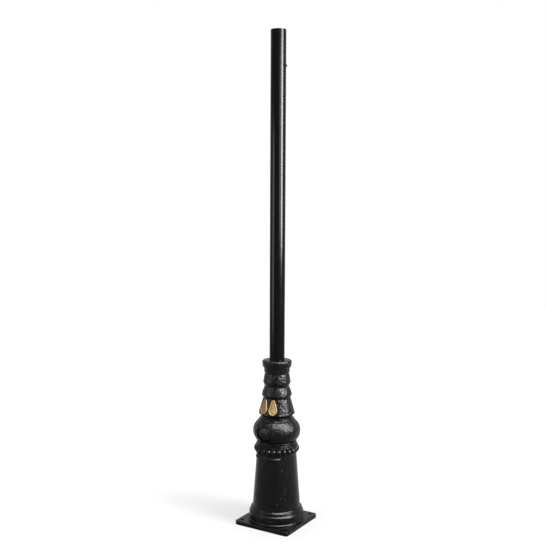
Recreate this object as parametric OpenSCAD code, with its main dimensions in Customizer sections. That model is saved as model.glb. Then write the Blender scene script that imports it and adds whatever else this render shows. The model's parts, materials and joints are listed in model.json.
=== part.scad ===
// Heritage lamp post without its lantern: a cast pedestal with an access door, four loose castings
// threaded over a steel tube, and the electrical connection inside the pedestal.
// Millimetres. Origin at the centre of the base plate's underside, +Z up, the door faces -Y.

/* [Shaft] */
// Height of the post from the ground to the top of the shaft
post_h = 2438; // [1500:1:4000]
// Outside diameter of the shaft tube
tube_d = 76.1; // [70:0.1:80]
// Wall of the shaft tube
tube_wall = 4; // [3:0.5:6]
// Depth of the lantern screw below the top of the shaft
lantern_screw_drop = 170; // [60:1:400]
// Direction of the lantern screw, turned from the door side
lantern_screw_turn = 120; // [0:1:359]

/* [Base plate] */
// Side of the square base plate
plate_w = 305; // [300:1:400]
// Thickness of the base plate
plate_t = 19; // [12:0.5:30]
// Corner radius of the base plate
plate_corner_r = 15; // [5:1:30]
// Distance between neighbouring anchor bolt holes
bolt_pitch = 250; // [240:1:260]
// Diameter of the anchor bolt holes
bolt_hole_d = 18; // [10:0.5:22]

/* [Pedestal] */
// Wall of the pedestal casting
wall = 8; // [6:0.5:10]
// Diameter of the plinth drum
plinth_d = 274; // [262:1:284]
// Height of the plinth drum above the plate
plinth_h = 39; // [30:1:60]
// Height of the fillet at the foot of the plinth
foot_h = 6; // [3:0.5:12]
// How far the fillet at the foot stands out from the drum
foot_out = 4; // [2:0.5:8]
// Radius of the rounded top edge of the plinth
plinth_round_r = 7; // [4:0.5:9]
// Height of the mouldings between the plinth and the tapered body
base_mould_h = 32; // [31:1:44]
// Radius of the small bead in those mouldings
base_bead_r = 4.5; // [3:0.5:6]
// Diameter of the tapered body at its bottom
body_d_bottom = 239.2; // [230:0.2:244]
// Diameter of the tapered body at its top
body_d_top = 200.6; // [190:0.2:206]
// Height of the tapered body
body_h = 267; // [255:1:400]
// Number of small raised pips on the plinth drum
pip_n = 4; // [1:1:8]
// Direction of the middle of the row of pips, turned from the door side
pip_turn = 20.7; // [0:0.1:60]
// Spacing of the pips along the drum
pip_pitch = 10; // [8:0.5:14]
// Radius of one pip
pip_r = 3.2; // [2:0.1:3.8]

/* [Gadroon ring] */
// Number of lobes round the ring
lobe_n = 24; // [16:1:28]
// Radius of the upper part of a lobe
lobe_r = 14; // [13.5:0.5:15]
// Radius of the lower end of a lobe
lobe_tip_r = 12.5; // [12:0.5:13.5]
// Distance from the centre of a lobe's upper part down to that of its lower end
lobe_drop = 3.5; // [3.5:0.5:8]
// Height of the ring
ring_h = 47; // [42:1:60]

/* [Bulb] */
// Greatest diameter of the bulb
bulb_d = 240; // [230:0.2:250]
// Radius of the bulb's rounded side
bulb_side_r = 64; // [60:1:72]
// Height of the bulb's widest level above the gadroon ring
bulb_low_h = 68; // [64:1:80]
// Height of the crest collar's seat above the bulb's widest level
bulb_high_h = 73; // [70:1:84]
// Width of the oval cartouche
cartouche_w = 100; // [80:1:110]
// Height of the oval cartouche
cartouche_h = 78; // [66:1:84]
// Width of the cartouche's raised rim
cartouche_rim = 6; // [4:0.5:9]
// How far the rim stands out of the bulb
cartouche_out = 3; // [1.5:0.5:5]
// Diameter of the neck between the bulb and the crest collar
neck_d = 159; // [154:1:168]

/* [Shaft socket] */
// Radial play between the tube and the castings it passes through
tube_play = 0.5; // [0.2:0.1:1]
// Wall of the socket that holds the tube
socket_wall = 10; // [8:0.5:14]
// Height of the spigot above the neck
spigot_h = 56; // [50:1:64]
// Wall of the spigot, which takes the shaft screws
spigot_wall = 17; // [14:0.5:20]
// Number of screws that clamp the tube in the spigot
shaft_screw_n = 3; // [2:1:4]

/* [Access door] */
// Width of the door
door_w = 106; // [96:1:112]
// Height of the door
door_h = 217; // [200:1:225]
// Height of the door's lower edge above the bottom of the tapered body
door_rise = 25; // [20:1:32]
// Thickness of the door
door_t = 5; // [4:0.5:6]
// How far the door stands out of the body
door_proud = 2; // [0.5:0.5:3]
// Gap round the door in its rebate
door_gap = 0.8; // [0.4:0.1:1.5]
// Width of the ledge that the door lies on, at its sides and bottom
door_ledge = 7.5; // [6:0.5:12]
// Height of the ledge above the opening, which carries the screw boss
door_head = 36; // [32:1:45]
// Depth of the door screw below the door's upper edge
door_screw_drop = 19; // [16:1:22]
// Direction of the door screw, turned from the middle of the door
door_screw_turn = -6; // [-10:1:10]
// Height of the hood moulding over the door
hood_h = 18; // [12:1:22]
// How far the hood stands out at its lower edge
hood_out = 11; // [8:0.5:12]
// Angle that the hood's top spans round the body
hood_span = 86; // [70:1:90]
// Angle by which each raked end of the hood draws in towards its foot
hood_rake = 5; // [2:1:10]

/* [Loose castings] */
// Wall of the loose castings
ring_wall = 8; // [6:0.5:9]
// Diameter of the crest collar at its lower edge
crest_d_bottom = 182.8; // [176:0.2:190]
// Diameter of the crest collar at its upper edge
crest_d_top = 141; // [134:0.2:148]
// Height of the crest collar
crest_h = 93.5; // [88:0.5:110]
// Greatest diameter of the lower ring
lower_ring_d = 151.6; // [146:0.2:158]
// Height of the lower ring
lower_ring_h = 58.5; // [52:0.5:66]
// Greatest diameter of the upper ring
upper_ring_d = 138; // [130:0.2:142]
// Height of the upper ring
upper_ring_h = 64; // [60:0.5:76]
// Diameter of the top collar's lip
top_lip_d = 148; // [142:0.2:154]
// Height of the top collar
top_collar_h = 70; // [62:0.5:78]

/* [Ornaments] */
// Height of a gilded ornament
ornament_h = 68; // [60:1:72]
// Width of a gilded ornament
ornament_w = 42; // [34:1:44]
// Direction of each ornament, turned from the door side
ornament_turn = 18; // [17:0.5:24]
// Thickness of an ornament's field
ornament_t = 2.5; // [1.5:0.5:4]
// How far an ornament's rim stands out of its field
ornament_rim_out = 2; // [1:0.5:3]

/* [Compartment] */
// Width of the cable board
board_w = 80; // [70:1:90]
// Height of the cable board
board_h = 210; // [180:1:220]
// Thickness of the cable board
board_t = 8; // [6:1:12]
// Distance of the board's front face behind the axis of the post
board_back = 70; // [62:1:74]
// Diameter of the earth stud
earth_stud_d = 8; // [6:1:10]

/* [Hidden] */
$fn = 96;

paint = "#1c1c1f";
gilt = "#c9952f";
zinc = "#b4b8bb";
brass = "#c8a24c";

// Cutting solids reach this far past what they cut
past = 1;
// Welds between shapes of one casting overlap by this much
weld = 1;

// Radii of the pedestal, from the ground up
tube_r = tube_d / 2;
tube_in_r = tube_r - tube_wall;
bore_r = tube_r + tube_play;
plinth_r = plinth_d / 2;
foot_r = plinth_r + foot_out;
body_rb = body_d_bottom / 2;
body_rt = body_d_top / 2;
bulb_r = bulb_d / 2;
neck_r = neck_d / 2;
bulb_centre_r = bulb_r - bulb_side_r;
socket_r = bore_r + socket_wall;
spigot_r = bore_r + spigot_wall;

// Heights of the pedestal, from the ground up
drum_z = plate_t + plinth_h;
body_z = drum_z + base_mould_h;
bead_z = body_z - 14;
ring_z = body_z + body_h;
bulb_z = ring_z + ring_h;
bulb_mid_z = bulb_z + bulb_low_h;
neck_z = bulb_mid_z + bulb_high_h;
neck_fillets_h = 19;
fillet_z = neck_z - neck_fillets_h;
spigot_z = neck_z + spigot_h;
ledge_t = wall;
ledge_w = 6;
ledge_hole_r = tube_in_r - ledge_w;
ledge_z = ring_z + 3;

// Radius of the shoulder of the base mouldings, just inside the plinth's rounded edge
shoulder_r = plinth_r - plinth_round_r - 0.9;
// Reach of tools that have to pass all of the pedestal
reach = plate_w;

// Radius of the tapered body at a height
function body_r(z) = body_rb + (body_rt - body_rb) * (z - body_z) / body_h;

// Door and its opening
door_z0 = body_z + door_rise;
door_z1 = door_z0 + door_h;
door_back = door_t - door_proud;
opening_w = door_w - 2 * door_ledge;
opening_z0 = door_z0 + door_ledge + 4;
opening_z1 = door_z1 - door_head;
door_screw_z = door_z1 - door_screw_drop;
door_screw_d = 8;
door_screw_head_r = 7;
door_screw_head_h = 4.5;
door_screw_boss_r = 11;
door_screw_boss_l = 14;
door_screw_l = 20;
door_seat_r = body_r(door_screw_z) + door_proud - 1.5;
hook_t = 4;
hook_gap = 1;
hook_h = 7;
hood_z = ring_z + 4;
hood_top_out = 5.5;

// Levels and seats of the loose castings
crest_z = neck_z;
lower_z = crest_z + crest_h;
upper_z = lower_z + lower_ring_h;
top_z = upper_z + upper_ring_h;
crest_lip_z = crest_z + 17;
crest_rb = crest_d_bottom / 2;
crest_rt = crest_d_top / 2;
lower_foot_r = crest_rt - 1.5;
function crest_r(z) = crest_rb + (crest_rt - crest_rb) * (z - crest_lip_z) / (lower_z - crest_lip_z);
web_t = 10;
register_h = 4;
register_play = 0.5;
register_r = neck_r - wall - register_play;

// Screws
shaft_screw_d = 10;
shaft_screw_z = spigot_z - 16;
shaft_screw_l = 26;
shaft_screw_head = 10;
collar_screw_d = 8;
collar_screw_z = top_z + 12;
collar_screw_l = 20;
collar_screw_turns = [150, 240];
lip_round = 9;
lip_flat = 21;
under_round = 5;
lantern_screw_d = 8;
lantern_screw_z = post_h - lantern_screw_drop;
thread_play = 0.05;

// Ornaments
ornament_z0 = crest_z + 22;
ornament_top_r = 6;
ornament_rim_w = 3.5;
ornament_pin_r = 3;
ornament_pin_l = 11;

// Compartment
board_lug_r = 9;
board_z0 = body_z - 10;
board_screw_d = 6;
board_screw_zs = [board_z0 + 20, board_z0 + board_h - 20];
block_w = 66;
block_h = 36;
block_t = 24;
block_z = board_z0 + board_h / 2;
block_screw_d = 4;
block_screw_x = block_w / 2 - 5;
barrel_n = 3;
barrel_pitch = 17;
barrel_r = 5;
barrel_bore_r = 3;
clamp_d = 4;
clamp_z = 9;
earth_z = body_z + 14;
earth_boss_r = 12;
earth_boss_face = body_r(earth_z) - wall - 12;
earth_stud_l = 44;
earth_stud_in = 16;
washer_t = 1.6;
nut_t = 6.5;
nut_af = 13;

// Square tools for turned sections: everything outside a radius, or between two heights
module band(z0, z1, r0 = 0, r1 = reach) {
  translate([r0, z0]) square([r1 - r0, z1 - z0]);
}

// A round bead in a turned section
module bead(r, z, bead_r) {
  translate([r, z]) circle(bead_r);
}

// A ring of wall that follows the tapered body, from an inner to an outer offset
module body_shell(inner, outer, z0, z1) {
  rotate_extrude()
    polygon([
      [body_r(z0) + inner, z0], [body_r(z0) + outer, z0],
      [body_r(z1) + outer, z1], [body_r(z1) + inner, z1]
    ]);
}

// A block in front of the axis, on the door side
module front_block(w, z0, z1) {
  translate([-w / 2, -reach, z0]) cube([w, reach, z1 - z0]);
}

// Places a shape that was drawn pointing along -Y at a turn from the door side
module at_turn(turn) {
  rotate([0, 0, turn]) children();
}

// A cylinder that lies along -Y, from one distance from the axis to another
module spoke(r, from, to, z) {
  translate([0, -from, z]) rotate([90, 0, 0]) cylinder(r = r, h = to - from);
}

// A button head screw along -Y: seat is where its head rests, length is below the head
module button_screw(d, head_r, head_h, seat, length, z) {
  difference() {
    union() {
      spoke(d / 2 - thread_play, seat - length, seat + weld, z);
      translate([0, -seat, z]) rotate([90, 0, 0])
        rotate_extrude()
          polygon([
            [0, 0], [head_r, 0], [head_r, head_h * 0.3], [head_r * 0.9, head_h * 0.65],
            [head_r * 0.68, head_h * 0.9], [head_r * 0.4, head_h], [0, head_h]
          ]);
    }
    translate([0, -(seat + head_h * 0.45), z])
      rotate([90, 0, 0]) cylinder(r = d * 0.3, h = head_h, $fn = 6);
  }
}

// A set screw along -Y with a hexagon socket in its outer end
module set_screw(d, from, to, z) {
  difference() {
    spoke(d / 2 - thread_play, from, to, z);
    translate([0, -(to - d * 0.6), z])
      rotate([90, 0, 0]) cylinder(r = d * 0.29, h = d, $fn = 6);
  }
}

// An oval of four arcs that meet smoothly
module oval(half_w, half_h, end_r) {
  run = half_w - end_r;
  side_r = (run * run + half_h * half_h - end_r * end_r) / (2 * (half_h - end_r));
  tangent_x = run * side_r / (side_r - end_r);
  for (s = [-1, 1]) translate([s * run, 0]) circle(end_r);
  intersection() {
    translate([0, half_h - side_r]) circle(side_r);
    translate([0, side_r - half_h]) circle(side_r);
    square([2 * tangent_x, 2 * half_h], center = true);
  }
}

// The pedestal's turned outline, solid to the axis
module pedestal_outline() {
  polygon([
    [0, 0], [foot_r, 0], [foot_r, plate_t + foot_h], [plinth_r, plate_t + foot_h + 2],
    [plinth_r, drum_z], [plinth_r - plinth_round_r + 1, drum_z + plinth_round_r],
    [shoulder_r, bead_z - 8], [shoulder_r + 0.5, bead_z - 6], [shoulder_r - 0.5, bead_z - 3],
    [body_rb + 5.5, bead_z + 4], [body_rb + 1, bead_z + 8], [body_rb, body_z], [body_rt, ring_z],
    [body_rt + 2, ring_z + 5], [body_rt + 4, ring_z + 38], [body_rt + 2.5, bulb_z],
    [body_rt - 2, bulb_z + 2], [body_rt - 2, bulb_z + 16], [bulb_centre_r, bulb_z + 22],
    [bulb_centre_r, fillet_z], [neck_r + 11, fillet_z], [neck_r + 12, fillet_z + 4],
    [neck_r + 6.5, fillet_z + 7], [neck_r + 6, fillet_z + 11], [neck_r + 1.5, fillet_z + 14],
    [neck_r, fillet_z + 15], [neck_r, neck_z], [register_r, neck_z],
    [register_r, neck_z + register_h], [spigot_r + 4, neck_z + register_h],
    [spigot_r, neck_z + register_h + 4], [spigot_r, spigot_z - 2], [spigot_r - 2, spigot_z],
    [0, spigot_z]
  ]);
  bead(plinth_r - plinth_round_r, drum_z, plinth_round_r);
  bead(body_rb + 6, bead_z, base_bead_r);
  bead(body_rt + 2.5, bulb_z - 4, 4);
  bead(body_rt - 2.5, bulb_z + 7, 3);
  bead(body_rt - 2, bulb_z + 17, 3);
  intersection() {
    bead(bulb_centre_r, bulb_mid_z, bulb_side_r);
    band(bulb_z + 14, fillet_z + 2, bulb_centre_r);
  }
}

// What the core leaves hollow: the compartment, the pocket in the bulb and the tube's socket
module pedestal_hollow() {
  pocket_r = bulb_side_r - wall;
  pocket_z = bulb_z + 20;
  difference() {
    union() {
      polygon([
        [0, -past], [plinth_r - wall, -past], [plinth_r - wall, drum_z - wall],
        [shoulder_r - wall, drum_z], [body_rb - wall, body_z], [body_rt - wall, ring_z],
        [body_rt - wall - 2, bulb_z], [body_rt - wall - 2, pocket_z], [0, pocket_z]
      ]);
      intersection() {
        bead(bulb_centre_r, bulb_mid_z, pocket_r);
        band(pocket_z - 4, neck_z, socket_r - past);
      }
    }
    band(ledge_z - ledge_t, neck_z, 0, socket_r);
  }
  band(ledge_z, spigot_z + past, 0, bore_r);
  band(ledge_z - ledge_t - past, ledge_z + past, 0, ledge_hole_r);
}

// The square foot with rounded corners
module base_plate() {
  run = plate_w / 2 - plate_corner_r;
  for (x = [-run, run], y = [-run, run]) translate([x, y, 0]) cylinder(r = plate_corner_r, h = plate_t);
  translate([-run, -plate_w / 2, 0]) cube([2 * run, plate_w, plate_t]);
  translate([-plate_w / 2, -run, 0]) cube([plate_w, 2 * run, plate_t]);
}

// One lobe of the gadroon ring: a ball that tapers down to a slightly smaller one
module lobe() {
  slope = (lobe_r - lobe_tip_r) / lobe_drop;
  side = sqrt(1 - slope * slope);
  tuck = 0.1;
  taper_h = lobe_drop - (lobe_r - lobe_tip_r) * slope;
  translate([0, -(body_rt + 1), ring_z + ring_h - 22.5]) {
    sphere(lobe_r);
    translate([0, 0, -lobe_drop]) sphere(lobe_tip_r);
    translate([0, 0, -lobe_drop - lobe_tip_r * slope])
      cylinder(r1 = lobe_tip_r * side - tuck, r2 = lobe_r * side - tuck, h = taper_h);
  }
}

// The moulding over the door, with raked ends
module hood() {
  z1 = hood_z;
  z0 = z1 - hood_h;
  top_x = (body_r(z1) + hood_top_out) * sin(hood_span / 2);
  foot_x = (body_r(z0) + hood_out) * sin(hood_span / 2 - hood_rake);
  intersection() {
    rotate_extrude()
      polygon([
        [body_r(z0) - weld, z0], [body_r(z0) + hood_out - 1.5, z0], [body_r(z0) + hood_out, z0 + 2],
        [body_r(z0) + hood_out, z0 + 5], [body_r(z1) + hood_top_out - 1, z1 - 5.5],
        [body_r(z1) + hood_top_out, z1 - 4], [body_r(z1) + hood_top_out, z1], [body_r(z1) - weld, z1]
      ]);
    rotate([90, 0, 0])
      linear_extrude(height = reach)
        polygon([[-foot_x, z0], [foot_x, z0], [top_x, z1], [-top_x, z1]]);
  }
}

// The raised oval on the bulb with a small bare rosette on its field, and the knob above it
module cartouche() {
  end_r = cartouche_h / 2 - 9;
  knob_r = 6.5;
  petal_n = 8;
  petal_run = 11;
  intersection() {
    translate([0, 0, bulb_mid_z]) rotate([90, 0, 0])
      linear_extrude(height = bulb_r + cartouche_out + past) difference() {
        oval(cartouche_w / 2, cartouche_h / 2, end_r);
        oval(cartouche_w / 2 - cartouche_rim, cartouche_h / 2 - cartouche_rim, end_r - cartouche_rim);
      }
    rotate_extrude() intersection() {
      bead(bulb_centre_r, bulb_mid_z, bulb_side_r + cartouche_out);
      band(bulb_mid_z - cartouche_h, bulb_mid_z + cartouche_h, bulb_centre_r);
    }
  }
  translate([0, -neck_r - 11, fillet_z + 3]) sphere(knob_r);
  translate([0, -bulb_r + 2.5, bulb_mid_z]) sphere(knob_r);
  for (i = [0:petal_n - 1]) {
    a = 360 * i / petal_n;
    lift = bulb_r - sqrt(pow(bulb_r, 2) - pow(petal_run * cos(a), 2))
      + bulb_side_r - sqrt(pow(bulb_side_r, 2) - pow(petal_run * sin(a), 2));
    translate([petal_run * cos(a), -bulb_r + lift + 1.6, bulb_mid_z + petal_run * sin(a)]) sphere(4.4);
  }
}

// Small raised casting pips on the plinth drum
module pips() {
  for (i = [0:pip_n - 1])
    at_turn(pip_turn + (i - (pip_n - 1) / 2) * pip_pitch / plinth_r * 180 / PI)
      spoke(pip_r, plinth_r - weld, plinth_r + 1.5, plate_t + plinth_h * 0.6);
}

// Bosses on the inner wall: the door screw's, the cable board's two lugs and the earth stud's
module inner_bosses() {
  intersection() {
    at_turn(door_screw_turn)
      spoke(door_screw_boss_r, body_r(door_screw_z) - door_back - door_screw_boss_l - wall,
        body_r(door_screw_z) + wall, door_screw_z);
    body_shell(-body_rt / 2, -wall / 2, door_z0, ring_z);
  }
  for (z = board_screw_zs)
    intersection() {
      at_turn(180) spoke(board_lug_r, board_back + board_t, body_rb, z);
      body_shell(-body_rt / 2, -wall / 2, board_z0, ring_z);
    }
  at_turn(-90) spoke(earth_boss_r, earth_boss_face, earth_boss_face + 16, earth_z);
}

// The cut for the door: its rebate and the opening behind it
module door_cut() {
  intersection() {
    front_block(door_w + 2 * door_gap, door_z0 - door_gap, door_z1 + door_gap);
    body_shell(-door_back, hood_out, door_z0 - past, door_z1 + past);
  }
  intersection() {
    front_block(opening_w, opening_z0, opening_z1);
    body_shell(-wall - past, hood_out, door_z0, door_z1);
  }
}

module pedestal() {
  color(paint)
    difference() {
      union() {
        difference() {
          union() {
            rotate_extrude() pedestal_outline();
            base_plate();
            hood();
            for (i = [0:lobe_n - 1]) at_turn((i + 0.5) * 360 / lobe_n) lobe();
            cartouche();
            pips();
          }
          rotate_extrude() pedestal_hollow();
        }
        inner_bosses();
      }
      door_cut();
      for (x = [-1, 1], y = [-1, 1])
        translate([x * bolt_pitch / 2, y * bolt_pitch / 2, -past])
          cylinder(d = bolt_hole_d, h = plate_t + 2 * past);
      for (i = [0:shaft_screw_n - 1])
        at_turn(i * 360 / shaft_screw_n) spoke(shaft_screw_d / 2, 0, spigot_r + past, shaft_screw_z);
      at_turn(door_screw_turn)
        spoke(door_screw_d / 2, body_rt / 2, body_r(door_screw_z), door_screw_z);
      for (z = board_screw_zs)
        at_turn(180) spoke(board_screw_d / 2, board_back, board_back + board_t + 18, z);
      at_turn(-90) spoke(earth_stud_d / 2, 0, earth_boss_face + earth_stud_in, earth_z);
    }
}

module access_door() {
  hook_w = opening_w * 0.45;
  hook_in = wall + hook_gap;
  color(paint)
    difference() {
      union() {
        intersection() {
          front_block(door_w, door_z0, door_z1);
          body_shell(-door_back, door_proud, door_z0 - past, door_z1 + past);
        }
        intersection() {
          front_block(hook_w, opening_z0 + hook_gap, opening_z0 + hook_gap + hook_h);
          body_shell(-hook_in - hook_t, -door_back + weld, door_z0 - past, door_z1);
        }
        intersection() {
          front_block(hook_w, opening_z0 - hook_h, opening_z0 + hook_gap + hook_h);
          body_shell(-hook_in - hook_t, -hook_in, door_z0 - past, door_z1);
        }
      }
      at_turn(door_screw_turn) {
        spoke(door_screw_d / 2 + 0.3, 0, body_rb + past, door_screw_z);
        spoke(door_screw_head_r + 1, door_seat_r, body_rb + past, door_screw_z);
      }
    }
}

module door_screw() {
  color(zinc)
    at_turn(door_screw_turn)
      button_screw(door_screw_d, door_screw_head_r, door_screw_head_h, door_seat_r, door_screw_l,
        door_screw_z);
}

module crest_collar() {
  color(paint)
    difference() {
      rotate_extrude() difference() {
        polygon([
          [0, crest_z], [neck_r, crest_z], [neck_r + 1, crest_z + 5], [neck_r + 5.5, crest_z + 10],
          [crest_rb, crest_z + 15], [crest_rb, crest_lip_z], [crest_rt, lower_z - 4],
          [lower_foot_r, lower_z], [0, lower_z]
        ]);
        polygon([
          [0, crest_z - past], [register_r + register_play, crest_z - past],
          [register_r + register_play, crest_lip_z], [crest_rt - ring_wall, lower_z - web_t - 2],
          [crest_rt - ring_wall - 2, lower_z - web_t], [0, lower_z - web_t]
        ]);
        band(crest_z, lower_z + past, 0, bore_r);
      }
      for (s = [-1, 1]) at_turn(s * ornament_turn) ornament_pins(ornament_pin_r + 0.15);
    }
}

// The two pins on the back of an ornament, which pass through the collar's wall
module ornament_pins(r) {
  for (rise = [18, 50]) {
    z = ornament_z0 + rise;
    spoke(r, crest_r(z) - ornament_pin_l, crest_r(z) + weld, z);
  }
}

// A teardrop outline, narrow at its top, drawn in from its edge by a margin
module teardrop(margin) {
  low_r = ornament_w / 2;
  run = ornament_h - low_r - ornament_top_r;
  lean = asin((low_r - ornament_top_r) / run);
  steps = 8;
  polygon([
    for (i = [0:2 * steps])
      let (a = 180 - lean + i * (180 + 2 * lean) / (2 * steps))
        [(low_r - margin) * cos(a), low_r + (low_r - margin) * sin(a)],
    for (i = [0:steps])
      let (a = lean + i * (180 - 2 * lean) / steps)
        [(ornament_top_r - margin) * cos(a), low_r + run + (ornament_top_r - margin) * sin(a)]
  ]);
}

// A layer of the ornament: its outline carried out to a skin over the collar's cone
module ornament_layer(out) {
  intersection() {
    translate([0, 0, ornament_z0]) rotate([90, 0, 0])
      linear_extrude(height = crest_rb + 20) children();
    rotate_extrude()
      polygon([
        [crest_r(crest_lip_z), crest_lip_z], [crest_r(crest_lip_z) + out, crest_lip_z],
        [crest_r(lower_z + 2) + out, lower_z + 2], [crest_r(lower_z + 2), lower_z + 2]
      ]);
  }
}

// One gilded ornament: a field, a rim and rows of small round scales
module ornament() {
  scale_r = 3.6;
  rows = [3, 4, 3, 2, 1, 1];
  row_step = 8;
  ornament_layer(ornament_t) teardrop(0);
  ornament_layer(ornament_t + ornament_rim_out) difference() {
    teardrop(0);
    teardrop(ornament_rim_w);
  }
  difference() {
    for (i = [0:len(rows) - 1], j = [0:rows[i] - 1]) {
      x = (j - (rows[i] - 1) / 2) * scale_r * 2.2;
      z = ornament_z0 + 11 + i * row_step;
      y = sqrt(pow(crest_r(z), 2) - x * x);
      translate([x, -(y + ornament_t - 0.8), z]) sphere(scale_r);
    }
    rotate_extrude()
      polygon([
        [0, crest_lip_z], [crest_rb + ornament_t / 2, crest_lip_z],
        [crest_r(lower_z + 2) + ornament_t / 2, lower_z + 2], [0, lower_z + 2]
      ]);
  }
  ornament_pins(ornament_pin_r);
}

module crest_left() {
  color(gilt) at_turn(-ornament_turn) ornament();
}

module crest_right() {
  color(gilt) at_turn(ornament_turn) ornament();
}

module lower_ring() {
  swell_r = 9;
  top_r = upper_ring_d / 2 - 7;
  swell = lower_ring_d / 2 - swell_r;
  color(paint)
    rotate_extrude() difference() {
      union() {
        polygon([
          [0, lower_z], [lower_foot_r, lower_z], [swell + 2.5, lower_z + 6],
          [swell + swell_r, lower_z + 15.5], [swell + swell_r - 0.6, lower_z + 20],
          [swell + 4, lower_z + 36], [top_r + 3.8, upper_z - 11], [top_r, upper_z], [0, upper_z]
        ]);
        bead(swell, lower_z + 15.5, swell_r);
      }
      polygon([
        [0, lower_z - past], [lower_foot_r - ring_wall, lower_z - past],
        [lower_foot_r - ring_wall, lower_z + 22], [top_r - ring_wall, upper_z - web_t], [0, upper_z - web_t]
      ]);
      band(lower_z, upper_z + past, 0, bore_r);
    }
}

module upper_ring() {
  swell_r = 12;
  foot = upper_ring_d / 2 - 7;
  swell = upper_ring_d / 2 - swell_r;
  top_r = top_collar_foot_r();
  color(paint)
    rotate_extrude() difference() {
      union() {
        polygon([
          [0, upper_z], [foot, upper_z], [swell + 6, upper_z + 5], [swell + 8.5, upper_z + 9.5],
          [swell + 11.8, upper_z + 25], [top_r + 2.5, top_z - 8], [top_r, top_z], [0, top_z]
        ]);
        bead(swell, upper_z + 21, swell_r);
      }
      polygon([
        [0, upper_z - past], [foot - ring_wall, upper_z - past], [foot - ring_wall, top_z - web_t],
        [0, top_z - web_t]
      ]);
      band(upper_z, top_z + past, 0, bore_r);
    }
}

// Radius of the top collar where it stands on the upper ring
function top_collar_foot_r() = top_lip_d / 2 - 13;

module top_collar() {
  foot = top_collar_foot_r();
  lip = top_lip_d / 2 - lip_round;
  under_r = top_lip_d / 2 - 1.8 - under_round;
  upper_lip_z = top_z + top_collar_h - 12;
  lower_lip_z = upper_lip_z - lip_flat;
  throat_z = lower_lip_z - 11;
  color(paint)
    difference() {
      rotate_extrude() difference() {
        union() {
          polygon([
            [0, top_z], [foot, top_z], [foot + 3.3, top_z + 9], [foot + 4.2, throat_z - 4],
            [foot + 5, throat_z], [under_r + 1, lower_lip_z - 4.8], [under_r + under_round, lower_lip_z],
            [lip + lip_round - 0.6, upper_lip_z - 12], [lip + lip_round, upper_lip_z - 4],
            [lip + lip_round, upper_lip_z], [lip, upper_lip_z + lip_round],
            [bore_r, top_z + top_collar_h], [0, top_z + top_collar_h]
          ]);
          bead(under_r, lower_lip_z, under_round);
          bead(lip, upper_lip_z, lip_round);
        }
        band(top_z - past, top_z + top_collar_h + past, 0, bore_r);
      }
      for (turn = collar_screw_turns)
        at_turn(turn) spoke(collar_screw_d / 2, 0, top_lip_d / 2, collar_screw_z);
    }
}

module shaft_tube() {
  color(paint)
    difference() {
      translate([0, 0, ledge_z]) cylinder(r = tube_r, h = post_h - ledge_z);
      translate([0, 0, ledge_z - past]) cylinder(r = tube_in_r, h = post_h - ledge_z + 2 * past);
      at_turn(lantern_screw_turn) spoke(lantern_screw_d / 2, 0, tube_r + past, lantern_screw_z);
    }
}

module lantern_screw() {
  color(zinc)
    at_turn(lantern_screw_turn)
      button_screw(lantern_screw_d, 6.5, 4.5, tube_r, tube_wall - 0.2, lantern_screw_z);
}

module shaft_screws() {
  color(zinc)
    for (i = [0:shaft_screw_n - 1])
      at_turn(i * 360 / shaft_screw_n) {
        spoke(shaft_screw_d / 2 - thread_play, tube_r, tube_r + shaft_screw_l, shaft_screw_z);
        translate([-shaft_screw_head / 2, -(tube_r + shaft_screw_l), shaft_screw_z - shaft_screw_head / 2])
          cube([shaft_screw_head, 7, shaft_screw_head]);
      }
}

module collar_screws() {
  color(zinc)
    for (turn = collar_screw_turns)
      at_turn(turn)
        set_screw(collar_screw_d, tube_r, tube_r + collar_screw_l, collar_screw_z);
}

module cable_board() {
  color("#8a6a45")
    difference() {
      translate([-board_w / 2, board_back, board_z0]) cube([board_w, board_t, board_h]);
      for (z = board_screw_zs)
        at_turn(180) spoke(board_screw_d / 2 + 0.3, board_back - past, board_back + board_t + past, z);
      for (s = [-1, 1])
        translate([s * block_screw_x, 0, 0])
          at_turn(180) spoke(block_screw_d / 2, board_back - past, board_back + board_t + past, block_z);
    }
}

module board_screws() {
  color(zinc)
    for (z = board_screw_zs)
      mirror([0, 1, 0]) inner_screw(board_screw_d, 6, 4, board_back, board_t + 14, z);
}

// A round head screw in the compartment, its head towards the axis, drawn along -Y
module inner_screw(d, head_r, head_h, seat, length, z) {
  difference() {
    union() {
      spoke(d / 2 - thread_play, seat - weld, seat + length, z);
      spoke(head_r, seat - head_h, seat, z);
    }
    translate([-head_r, -(seat - head_h / 2), z - 0.8]) cube([2 * head_r, head_h, 1.6]);
  }
}

module terminal_block() {
  color("#e9e6dc")
    difference() {
      translate([-block_w / 2, board_back - block_t, block_z - block_h / 2])
        cube([block_w, block_t, block_h]);
      barrels(barrel_r, block_h + 2 * past);
      clamps(clamp_d / 2 + 0.3, board_back - block_t - past);
      for (s = [-1, 1])
        translate([s * block_screw_x, 0, 0])
          at_turn(180)
            spoke(block_screw_d / 2 + 0.2, board_back - block_t - past, board_back + past, block_z);
      for (s = [-1, 1])
        translate([s * block_screw_x, 0, 0])
          at_turn(180) spoke(4.2, board_back - block_t - past, board_back - block_t + 12, block_z);
    }
}

// Upright cylinders at the places of the brass barrels
module barrels(r, h) {
  for (i = [0:barrel_n - 1])
    translate([(i - (barrel_n - 1) / 2) * barrel_pitch, board_back - block_t / 2, block_z - h / 2])
      cylinder(r = r, h = h);
}

// Cylinders at the places of the clamp screws, from the front into each barrel
module clamps(r, front) {
  depth = board_back - block_t / 2 - barrel_bore_r - front;
  for (i = [0:barrel_n - 1], s = [-1, 1])
    translate([(i - (barrel_n - 1) / 2) * barrel_pitch, front, block_z + s * clamp_z])
      rotate([-90, 0, 0]) cylinder(r = r, h = depth);
}

module terminal_barrels() {
  color(brass)
    difference() {
      barrels(barrel_r, block_h - 4);
      barrels(barrel_bore_r, block_h);
      clamps(clamp_d / 2, board_back - block_t - past);
    }
}

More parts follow.
